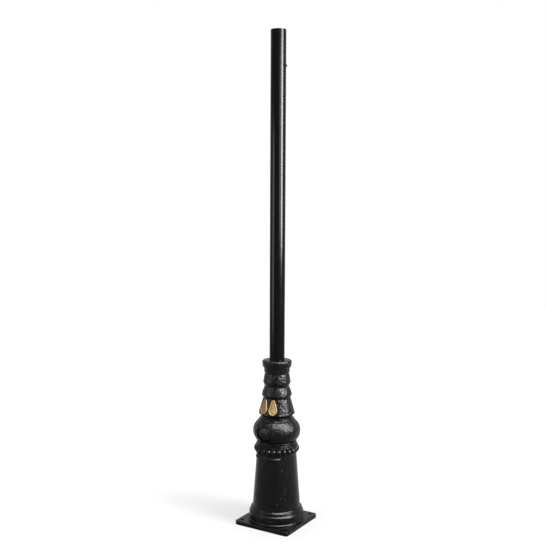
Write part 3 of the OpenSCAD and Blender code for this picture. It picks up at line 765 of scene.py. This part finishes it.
def hood():
    """The moulding, which grows out of the body's wall."""
    section = [(body_r(z) + out, z, *soft) for z, out, *soft in HOOD_SECTION]
    shape = half_turned(section, FRONT_DEGREES)
    foot_x = (body_r(HOOD_LOW_Z) + HOOD_LIP) * math.sin(math.radians(HOOD_SPAN / 2 - HOOD_RAKE))
    top_x = (body_r(HOOD_TOP_Z) + HOOD_TOP) * math.sin(math.radians(HOOD_SPAN / 2))
    slope = Vector((HOOD_TOP_Z - HOOD_LOW_Z, 0, foot_x - top_x)).normalized()
    for side in (-1, 1):
        trim(shape, (side * top_x, 0, HOOD_TOP_Z), (side * slope.x, 0, slope.z))
    roughen(shape, HOOD_SKIN)
    return shape


hood_piece = as_object(hood(), "hood")

# %% [markdown]
# ## The oval frame on the bulb
#
# The bulb carries a raised oval rim. It could be spun and squeezed, but a flat oval that is bent over
# the bulb keeps the same width all round: it is drawn flat, given its thickness, and then each point
# is moved out to the bulb's own radius. Its two front edges are filed round to catch the light.

# %% Oval frame
OVAL_W, OVAL_H, OVAL_RIM, OVAL_OUT, OVAL_ROUND = 100, 78, 6, 4, 2


def bulb_skin(x, height):
    """Distance of the bulb's skin in front of the axis, at x and at a height from its middle."""
    ring = BULB_CENTRE_R + math.sqrt(max(BULB_SIDE_R**2 - height**2, 0))
    return math.sqrt(max(ring**2 - x**2, 0))


def cartouche():
    """The raised rim, bent over the bulb."""
    shape = bmesh.new()
    bmesh.ops.create_circle(shape, segments=72, radius=1)
    inner = bmesh.ops.extrude_edge_only(shape, edges=shape.edges[:])["geom"]
    inner_size = (1 - 2 * OVAL_RIM / OVAL_W, 1 - 2 * OVAL_RIM / OVAL_H, 1)
    bmesh.ops.scale(shape, vec=inner_size, verts=points_of(inner))
    bmesh.ops.scale(shape, vec=(OVAL_W / 2, OVAL_H / 2, 1), verts=shape.verts)
    front = bmesh.ops.extrude_face_region(shape, geom=shape.faces[:])["geom"]
    bmesh.ops.translate(shape, vec=(0, 0, 1), verts=points_of(front))
    edges = [e for e in shape.edges if all(v.co.z > 0.5 for v in e.verts) and not e.is_boundary]
    for vert in shape.verts:
        x, height, out = vert.co
        reach = bulb_skin(x, height) + (OVAL_OUT if out > 0.5 else -WALL / 2)
        vert.co = (x, -reach, BULB_Z + height)
    loops = [e for e in edges if len(e.link_faces) == 2 and e.calc_face_angle(0) > math.radians(40)]
    soften(shape, loops, OVAL_ROUND)
    bmesh.ops.recalc_face_normals(shape, faces=shape.faces)
    return shape


# %% [markdown]
# ## The rosette, the knob and the pips
#
# A plain rosette of eight beads fills the oval, a knob sits on the neck above it, and four pips mark
# the plinth. The rosette's beads and the button in their middle are balls sunk more than halfway into
# the iron, and a pip is a short peg with a filed tip. Every other bead goes into a tool of its own, as
# the lobes did.

# %% Rosette, knob and pips
PETAL_N, PETAL_RUN, PETAL_R, PETAL_SINK = 8, 11, 4.4, 1.6
KNOB_R, KNOB_PLACE, BUTTON_SINK = 6.5, (0, -90.5, 529), 2.5
PIP_N, PIP_TURN, PIP_PITCH, PIP_R, PIP_Z = 4, 20.7, 10, 3.2, 42.4
PLINTH_R, PIP_OUT, PIP_ROUND = 137, 138.5, 1


def bead(radius, x, height, sink):
    """A ball sunk into the front of the bulb."""
    return ball(radius, (x, -bulb_skin(x, height) + sink, BULB_Z + height))


def pip(turn):
    """A small peg that stands out of the plinth."""
    shape = spoke(PIP_R, turn, PLINTH_R - 2, PIP_OUT, PIP_Z, 24)
    tip = [e for e in shape.edges if all(out_from_axis(v) > PIP_OUT - PIP_ROUND for v in e.verts)]
    soften(shape, tip, PIP_ROUND)
    return shape


angles = [2 * math.pi * i / PETAL_N for i in range(PETAL_N)]
petals = [bead(PETAL_R, PETAL_RUN * math.cos(a), PETAL_RUN * math.sin(a), PETAL_SINK) for a in angles]
pip_steps = [(i - (PIP_N - 1) / 2) * PIP_PITCH / PLINTH_R for i in range(PIP_N)]
pips = [pip(PIP_TURN + math.degrees(step)) for step in pip_steps]
button_and_knob = [bead(KNOB_R, 0, 0, BUTTON_SINK), ball(KNOB_R, KNOB_PLACE, 24, 14)]
marks = as_object(joined([cartouche()] + petals[::2] + pips), "marks")
more_marks = as_object(joined(button_and_knob), "more_marks")
last_marks = as_object(joined(petals[1::2]), "last_marks")

# %% [markdown]
# ## The bosses behind the door
#
# Where a screw needs more thread than the wall is thick, the casting has a boss: one for the door's
# screw, one for the earth stud, and two lugs for the board. They are plain spokes from the inside
# into the wall, as a pattern maker would glue pegs on the core.

# %% Bosses
DOOR_SCREW_TURN, DOOR_SCREW_Z, DOOR_BOSS_R = -6, 313, 11
EARTH_TURN, EARTH_Z, EARTH_BOSS_R, EARTH_BOSS_FACE, EARTH_BOSS_L = -90, 104, 12, 98.59, 16
BOARD_TURN, BOARD_SCREW_ZS, BOARD_LUG_R, BOARD_FACE = 180, (100, 270), 9, 78

door_screw_r = body_r(DOOR_SCREW_Z)
earth_boss_end = EARTH_BOSS_FACE + EARTH_BOSS_L
pegs = [
    spoke(DOOR_BOSS_R, DOOR_SCREW_TURN, door_screw_r - 25, door_screw_r - WALL / 2, DOOR_SCREW_Z),
    spoke(EARTH_BOSS_R, EARTH_TURN, EARTH_BOSS_FACE, earth_boss_end, EARTH_Z),
]
pegs += [spoke(BOARD_LUG_R, BOARD_TURN, BOARD_FACE, body_r(z) - WALL / 2, z) for z in BOARD_SCREW_ZS]
bosses = as_object(joined(pegs), "bosses")

# %% [markdown]
# ## The door opening and the holes
#
# Last come the cuts: the rebate that the door lies in, the opening behind it, the anchor holes and
# the threaded holes for the post's own screws. The rebate and the opening are slabs that follow the
# taper, so the door stands out evenly along its whole height.

# %% Cuts in the pedestal
DOOR_BACK, DOOR_PROUD, DOOR_GAP, PAST_SKIN = 3, 2, 0.8, 9
OPENING_X, OPENING_LOW_Z, OPENING_TOP_Z = 45.5, 126.5, 296
SLAB_DEGREES = 100
BOLT_PITCH, BOLT_R = 250, 9
SHAFT_SCREW_R, SHAFT_SCREW_Z, SHAFT_SCREW_TURNS = 5, 585, (0, 120, 240)
SCREW_R, BOARD_SCREW_R = 4, 3


def body_slab(inner, outer, low_z, top_z, half_w, divide=LONG_RUN):
    """A curved slab that follows the tapered body in front, with upright flat sides."""
    section = [
        (body_r(low_z) + inner, low_z), (body_r(low_z) + outer, low_z),
        (body_r(top_z) + outer, top_z), (body_r(top_z) + inner, top_z),
    ]
    shape = half_turned(section, SLAB_DEGREES, divide)
    for side in (-1, 1):
        trim(shape, (side * half_w, 0, 0), (side, 0, 0))
    return shape


rebate = body_slab(-DOOR_BACK, PAST_SKIN, DOOR_LOW_Z - DOOR_GAP, DOOR_TOP_Z + DOOR_GAP, DOOR_X + DOOR_GAP)
opening = body_slab(-WALL - 1, 0, OPENING_LOW_Z, OPENING_TOP_Z, OPENING_X)
bolt = BOLT_PITCH / 2
bolt_places = [(x, y) for x in (-bolt, bolt) for y in (-bolt, bolt)]
drills = [cylinder(BOLT_R, (x, y, -1), (x, y, PLATE_T + 1)) for x, y in bolt_places]
drills += [spoke(SHAFT_SCREW_R, turn, 0, 57, SHAFT_SCREW_Z) for turn in SHAFT_SCREW_TURNS]
drills += [spoke(SCREW_R, DOOR_SCREW_TURN, 50, door_screw_r, DOOR_SCREW_Z)]
drills += [spoke(BOARD_SCREW_R, BOARD_TURN, 70, 96, z) for z in BOARD_SCREW_ZS]
drills += [spoke(SCREW_R, EARTH_TURN, 50, earth_boss_end, EARTH_Z)]
cuts = [as_object(rebate, "rebate"), as_object(opening, "opening"), as_object(joined(drills), "holes")]
added = [plate, even_lobes, odd_lobes, hood_piece, marks, more_marks, last_marks, bosses]
combine(pedestal, added, "UNION")
combine(pedestal, cuts, "DIFFERENCE")
finish_piece(pedestal, "pedestal")

# %% [markdown]
# ## The access door
#
# The door was cast flat and thin and curved like the body. Its edges are filed soft, and a screw near
# its top pulls it against the ledge while a hook behind its foot holds the bottom. The hook passes
# over the sill of the opening and drops behind the wall, both with a millimetre of play.

# %% Access door
DOOR_ROUND, DOOR_SKIN = 1.2, 0.4
DOOR_HOLE_R, DOOR_SEAT_R, DOOR_SEAT_OUT = 4.3, 8, 0.5
HOOK_X, HOOK_PLAY, HOOK_T, HOOK_RISE, HOOK_DROP = OPENING_X * 0.45, 1, 4, 8, 7


def access_door():
    """The curved panel with its outer edges filed."""
    shape = body_slab(-DOOR_BACK, DOOR_PROUD, DOOR_LOW_Z, DOOR_TOP_Z, DOOR_X, 6)
    rim = [
        e for e in shape.edges
        if len(e.link_faces) == 2 and e.calc_face_angle(0) > math.radians(60)
        and min(out_from_axis(v) - body_r(v.co.z) for v in e.verts) > 0
    ]
    soften(shape, rim, DOOR_ROUND)
    roughen(shape, DOOR_SKIN)
    return shape


door = as_object(access_door(), "access_door_casting")
hook_end = -WALL - HOOK_PLAY - HOOK_T
hook_low_z, hook_top_z = OPENING_LOW_Z + HOOK_PLAY, OPENING_LOW_Z + HOOK_RISE
lip_low_z, lip_top_z, lip_x = OPENING_LOW_Z - HOOK_DROP, hook_top_z - 0.5, HOOK_X - 0.2
hook = as_object(body_slab(hook_end, -DOOR_BACK + 1, hook_low_z, hook_top_z, HOOK_X), "hook")
lip = as_object(body_slab(hook_end, hook_end + HOOK_T, lip_low_z, lip_top_z, lip_x), "lip")
door_hole = as_object(spoke(DOOR_HOLE_R, DOOR_SCREW_TURN, 60, 130, DOOR_SCREW_Z), "door_hole")
door_seat = as_object(
    spoke(DOOR_SEAT_R, DOOR_SCREW_TURN, door_screw_r + DOOR_SEAT_OUT, 130, DOOR_SCREW_Z), "door_seat"
)
combine(door, [hook, lip], "UNION")
combine(door, [door_hole, door_seat], "DIFFERENCE")
finish_piece(door, "access_door")

# %% [markdown]
# ## The crest collar
#
# Four castings are threaded over the tube. Each is a closed section spun round, with a thin skirt
# above a hollow, and a web at its top that fits the tube. The lowest is a plain cone on a flared foot.
# It has four small holes for the pins of the ornaments.

# %% Crest collar
LOOSE_SKIN = 0.45
SKIRT_R = 71.5
ORNAMENT_TURN, PIN_RISES, PIN_R, PIN_HOLE_R = 18, (18, 50), 3, 3.15


def loose_casting(name, inner_r, steps):
    """A casting that is threaded over the tube; its skin is rough outside inner_r."""
    return as_object(turned(steps, LOOSE_SKIN, inner_r), name + "_casting")


crest = loose_casting("crest_collar", 60.1, [
    (SKIRT_R, NECK_Z), (79.5, NECK_Z), (80.5, 550, 0.8), (85, 555, 1), (CREST_LOW_R, 560, 1),
    (CREST_LOW_R, CREST_LOW_Z, 1), (CREST_TOP_R, 634.5, 1.2), (69, CREST_TOP_Z),
    (BORE_R, CREST_TOP_Z), (BORE_R, 628.5), (60.5, 628.5), (62.5, 626.5), (SKIRT_R, CREST_LOW_Z),
])
pin_places = [(turn, rise) for turn in (-ORNAMENT_TURN, ORNAMENT_TURN) for rise in PIN_RISES]
pin_holes = [spoke(PIN_HOLE_R, turn, 50, 95, ORNAMENT_Z + rise) for turn, rise in pin_places]
combine(crest, [as_object(joined(pin_holes), "pin_holes")], "DIFFERENCE")
finish_piece(crest, "crest_collar")

# %% [markdown]
# ## The two rings
#
# The rings repeat one idea at two sizes: a narrow foot, a bead, and a swelling that leans back in to
# the next joint. The dark V between two rings comes from those two slopes, so no line has to be drawn
# there. Each rests on the rim of the one below.

# %% Lower and upper ring
WEB_T = 10
RING_HOLLOW_R, LOWER_SKIRT_R = 54, 61

lower_ring = loose_casting("lower_ring", 60, [
    (LOWER_SKIRT_R, CREST_TOP_Z), (69, CREST_TOP_Z), (69.3, 644.5, 0.6), (70.6, 645.84),
    ("arc", 66.8, 654, 75), (75.2, 658.5, 1), (70.8, 674.5, 2), (65.8, 686, 2), (62, LOWER_TOP_Z),
    (BORE_R, LOWER_TOP_Z), (BORE_R, LOWER_TOP_Z - WEB_T), (RING_HOLLOW_R, LOWER_TOP_Z - WEB_T),
    (LOWER_SKIRT_R, 660.5),
])
finish_piece(lower_ring, "lower_ring")

upper_ring = loose_casting("upper_ring", 54.5, [
    (RING_HOLLOW_R, LOWER_TOP_Z), (62, LOWER_TOP_Z), (63, 702, 1), (65.5, 706.5, 1), (66.5, 710.6),
    ("arc", 57, 718, 48), (68.8, 722, 1), (63.5, 753, 1), (61, UPPER_TOP_Z),
    (BORE_R, UPPER_TOP_Z), (BORE_R, UPPER_TOP_Z - WEB_T), (RING_HOLLOW_R, UPPER_TOP_Z - WEB_T),
])
finish_piece(upper_ring, "upper_ring")

# %% [markdown]
# ## The top collar
#
# The flared collar closes the stack. It is solid down to the tube, because two set screws at its back
# lock it there, and its broad round lip catches the light from above.

# %% Top collar
COLLAR_R = 74
COLLAR_SCREW_Z, COLLAR_SCREW_TURNS = 773, (150, 240)

top_collar = loose_casting("top_collar", 45, [
    (BORE_R, UPPER_TOP_Z), (61, UPPER_TOP_Z), (64.3, 770, 1), (65.2, 783, 0.6), (66, 787, 0.6),
    (68.2, 793.2), ("arc", 67.2, 798, 78.2), (73.4, 807, 1), (COLLAR_R, 815), (COLLAR_R, 819),
    ("arc", 65, 819, 90), (BORE_R, COLLAR_TOP_Z),
])
collar_holes = [spoke(SCREW_R, turn, 30, COLLAR_R, COLLAR_SCREW_Z) for turn in COLLAR_SCREW_TURNS]
combine(top_collar, [as_object(joined(collar_holes), "collar_holes")], "DIFFERENCE")
finish_piece(top_collar, "top_collar")

# %% [markdown]
# ## The ornaments
#
# Each ornament is a small casting of its own, pinned to the collar: a teardrop with a raised rim and
# rows of round scales. Its outline is drawn flat, two insets make the rim and the step down to the
# field, and straight saw cuts divide it so that it can be laid round the cone.

# %% Teardrop
ORNAMENT_W, ORNAMENT_H, ORNAMENT_TOP_R, ORNAMENT_RIM = 42, 70, 9, 2.8
FIELD_OUT, RIM_OUT, RIM_STEP, RIM_ROUND = 2.5, 4.5, 0.7, 0.9
ORNAMENT_SINK, ORNAMENT_SKIN = 0.5, 0.25


def crest_r(z):
    """Radius of the collar's cone at a height."""
    return CREST_LOW_R + (CREST_TOP_R - CREST_LOW_R) * (z - CREST_LOW_Z) / (CREST_TOP_Z - CREST_LOW_Z)


def teardrop():
    """The outline as one flat face, with x across and y up."""
    low_r = ORNAMENT_W / 2
    tip_y = ORNAMENT_H - ORNAMENT_TOP_R
    lean = math.asin((low_r - ORNAMENT_TOP_R) / (tip_y - low_r))
    upward = (0, 0, 1)
    shape = bmesh.new()
    low = shape.verts.new((-low_r * math.cos(lean), low_r + low_r * math.sin(lean), 0))
    bulge = swing(shape, low, (0, low_r, 0), math.pi + 2 * lean, 32, upward)
    flank_end = (ORNAMENT_TOP_R * math.cos(lean), tip_y + ORNAMENT_TOP_R * math.sin(lean), 0)
    side = run_to(shape, bulge, flank_end)
    tip = swing(shape, side, (0, tip_y, 0), math.pi - 2 * lean, 10, upward)
    shape.edges.new((tip, low))
    bmesh.ops.contextual_create(shape, geom=shape.edges[:])
    bmesh.ops.recalc_face_normals(shape, faces=shape.faces)
    if shape.faces[:][0].normal.z < 0:
        bmesh.ops.reverse_faces(shape, faces=shape.faces)
    return shape


# %% [markdown]
# ## Laying an ornament round the cone
#
# The flat plate gets its thickness first, and its front edges are filed. Then each point is moved so
# that its height above the flat becomes a distance from the cone. The scales are balls sunk into the
# field, and two pins at the back go into the collar.

# %% Ornaments
SCALE_R, SCALE_SINK, SCALE_ROWS, SCALE_STEP, FIRST_ROW = 3.1, 1.4, (3, 4, 3, 2, 1, 1), 8, 11
PIN_IN, PIN_OUT = 11, 1.5


def ornament_plate(turn):
    """The teardrop with its rim and field, laid round the cone and turned to its side."""
    shape = teardrop()
    bmesh.ops.inset_region(
        shape, faces=shape.faces[:], thickness=ORNAMENT_RIM, use_boundary=True, use_even_offset=True
    )
    field = max(shape.faces, key=lambda f: f.calc_area())
    bmesh.ops.inset_region(
        shape, faces=[field], thickness=RIM_STEP, depth=FIELD_OUT - RIM_OUT, use_even_offset=True
    )
    for x in range(-20, 21, 4):
        saw(shape, (x, 0, 0), (1, 0, 0))
    for y in range(5, 66, 6):
        saw(shape, (0, y, 0), (0, 1, 0))
    back = shape.verts[:]
    front = bmesh.ops.extrude_face_region(shape, geom=shape.faces[:])["geom"]
    bmesh.ops.translate(shape, vec=(0, 0, RIM_OUT), verts=points_of(front))
    for vert in back:
        vert.co.z = -ORNAMENT_SINK
    bmesh.ops.recalc_face_normals(shape, faces=shape.faces)
    steep = [e for e in shape.edges if e.calc_face_angle(0) > math.radians(60)]
    soften(shape, [e for e in steep if all(v.co.z > RIM_OUT - 0.1 for v in e.verts)], RIM_ROUND)
    for vert in shape.verts:
        x, height, out = vert.co
        z = ORNAMENT_Z + height
        vert.co = (x, -math.sqrt((crest_r(z) + out) ** 2 - x**2), z)
    turn_round(shape, turn)
    roughen(shape, ORNAMENT_SKIN, grain=(9, 5, 3))
    return shape


def ornament_scales(turn):
    """The round scales, row by row."""
    shapes = []
    for row, count in enumerate(SCALE_ROWS):
        z = ORNAMENT_Z + FIRST_ROW + row * SCALE_STEP
        for i in range(count):
            x = (i - (count - 1) / 2) * SCALE_STEP
            y = -math.sqrt(crest_r(z) ** 2 - x**2) - FIELD_OUT + SCALE_SINK
            shape = ball(SCALE_R, (x, y, z))
            turn_round(shape, turn)
            shapes.append(shape)
    return shapes


def ornament_pin(turn, z):
    """A pin from inside the collar's wall into the back of the ornament."""
    return spoke(PIN_R, turn, crest_r(z) - PIN_IN, crest_r(z) + PIN_OUT, z)


for side, turn in (("left", -ORNAMENT_TURN), ("right", ORNAMENT_TURN)):
    ornament = as_object(ornament_plate(turn), "gilded_ornament_" + side)
    scales = as_object(joined(ornament_scales(turn)), "scales")
    pins = [ornament_pin(turn, ORNAMENT_Z + rise) for rise in PIN_RISES]
    combine(ornament, [scales, as_object(joined(pins), "ornament_pins")], "UNION")
    finish_piece(ornament, "crest_" + side, "gilt")

# %% [markdown]
# ## The tube
#
# A plain steel tube stands in the pedestal's socket and runs up through all the castings. Its section
# is a thin rectangle with its upper corners filed round, and one hole takes the lantern screw.

# %% Tube
TUBE_WALL, TUBE_STEPS, TUBE_ROUND, TUBE_INNER_ROUND = 4, 160, 1.2, 0.8
LANTERN_SCREW_TURN, LANTERN_SCREW_Z = 120, 2268

tube_in_r = TUBE_R - TUBE_WALL
tube_section = [
    (tube_in_r, LEDGE_Z), (TUBE_R, LEDGE_Z), (TUBE_R, TUBE_TOP_Z, TUBE_ROUND),
    (tube_in_r, TUBE_TOP_Z, TUBE_INNER_ROUND),
]
tube = as_object(spin_round(draw_section(tube_section), TUBE_STEPS), "shaft_tube_steel")
screw_hole = as_object(spoke(SCREW_R, LANTERN_SCREW_TURN, 20, 45, LANTERN_SCREW_Z), "screw_hole")
combine(tube, [screw_hole], "DIFFERENCE")
finish_piece(tube, "shaft_tube", "black_tube", 30)

# %% [markdown]
# ## The studio floor
#
# The floor looks white, but lights the post only at a plain level. A camera ray and a ray reflected in
# gloss both see it glow, and a ray that gathers light sees only its matt grey. The glow is weaker near
# the foot, which leaves room for a soft shadow that fades to white further out.

# %% Floor
FLOOR_R = 9.0
SHADOW_LEVEL, SHADOW_START, SHADOW_END = 0.62, 0.2, 1.6


def seen_rays(tree):
    """1 for rays from the camera and those reflected or passed on by gloss and glass."""
    path = add(tree, "ShaderNodeLightPath").outputs
    either = {0: path["Is Glossy Ray"], 1: path["Is Transmission Ray"]}
    mirrored = add(tree, "ShaderNodeMath", either, operation="MAXIMUM")
    both = {0: path["Is Camera Ray"], 1: mirrored.outputs["Value"]}
    return add(tree, "ShaderNodeMath", both, operation="MAXIMUM").outputs["Value"]


disc = bmesh.new()
bmesh.ops.create_circle(disc, cap_ends=True, segments=96, radius=FLOOR_R)
floor_mesh = bpy.data.meshes.new("floor")
disc.to_mesh(floor_mesh)
disc.free()
floor = put("floor", floor_mesh)

floor_paint, tree, place = new_material("matt_pale_floor")
distance = add(tree, "ShaderNodeVectorMath", {0: place}, operation="LENGTH").outputs["Value"]
level = spread(tree, distance, SHADOW_LEVEL, 1.0, SHADOW_START, SHADOW_END)
strength = add(tree, "ShaderNodeMath", {0: level, 1: seen_rays(tree)}, operation="MULTIPLY")
matt = add(tree, "ShaderNodeBsdfDiffuse", {"Color": linear("#898989")})
glow = add(tree, "ShaderNodeEmission", {"Color": linear("#ffffff"), "Strength": strength.outputs["Value"]})
both = add(tree, "ShaderNodeAddShader", {0: matt.outputs[0], 1: glow.outputs[0]})
add(tree, "ShaderNodeOutputMaterial", {"Surface": both.outputs[0]})
floor_mesh.materials.append(floor_paint)
print("floor", 2 * FLOOR_R, "m across")

# %% [markdown]
# ## The surroundings
#
# Around the post everything is white for the same two kinds of ray, and a dim even light for the rest,
# as in a studio tent. A backdrop could do this too, but the world has no edge that gloss could mirror.

# %% Surroundings
TENT_LIGHT = 0.3

world = bpy.data.worlds.new("studio")
bpy.context.scene.world = world
world.use_nodes = True
tree = world.node_tree
tree.nodes.clear()
level = spread(tree, seen_rays(tree), TENT_LIGHT, 1.0, 0, 1)
tent = add(tree, "ShaderNodeBackground", {"Color": linear("#ffffff"), "Strength": level})
add(tree, "ShaderNodeOutputWorld", {"Surface": tent.outputs[0]})
print("surroundings light the post at", TENT_LIGHT)

# %% [markdown]
# ## The lamps
#
# Gloss black shows almost nothing but reflections, so the lamps are placed for what the post mirrors.
# A tall softbox on the right gives the tube its long bright band and the castings their sparks, a
# weaker one on the left lifts the shaded side, and one overhead draws the upper edges of the
# mouldings. Three of them light the colours, at a plain level. The others are sheen cards, which are
# only seen mirrored: black enamel sends back so little light that its highlights need brighter ones.

# %% Lamps
def lamp(name, azimuth, distance, height, aim, width, tall, power, sheen=False):
    """A softbox; azimuth is in degrees to the right of the camera, seen from the post."""
    data = bpy.data.lights.new(name, "AREA")
    data.shape = "RECTANGLE"
    data.size = width
    data.size_y = tall
    data.energy = power
    made = put(name, data)
    angle = camera_turn + math.radians(azimuth)
    made.location = (distance * math.sin(angle), -distance * math.cos(angle), height)
    made.rotation_euler = (Vector((0, 0, aim)) - made.location).to_track_quat("-Z", "Y").to_euler()
    made.visible_diffuse = not sheen
    print(name, "at", [round(c, 2) for c in made.location])


# Each has its azimuth, distance, height, the height it is aimed at, its width, its length and its watts
lamp("key", 60, 3.0, 2.4, 1.3, 1.2, 1.8, 200)
lamp("fill", -75, 3.0, 1.8, 1.0, 1.5, 2.0, 40)
lamp("overhead", 200, 0.8, 4.5, 1.0, 1.5, 1.5, 60)
lamp("key_sheen", 62, 3.0, 2.6, 1.2, 1.3, 2.4, 1150, sheen=True)
lamp("side_sheen", 32, 3.0, 2.6, 1.4, 1.0, 2.0, 110, sheen=True)
lamp("fill_sheen", -65, 3.0, 1.6, 0.9, 1.2, 2.0, 80, sheen=True)
lamp("overhead_sheen", 50, 0.8, 4.5, 0.6, 2.3, 2.0, 1350, sheen=True)

bpy.context.scene.view_settings.view_transform = "Standard"
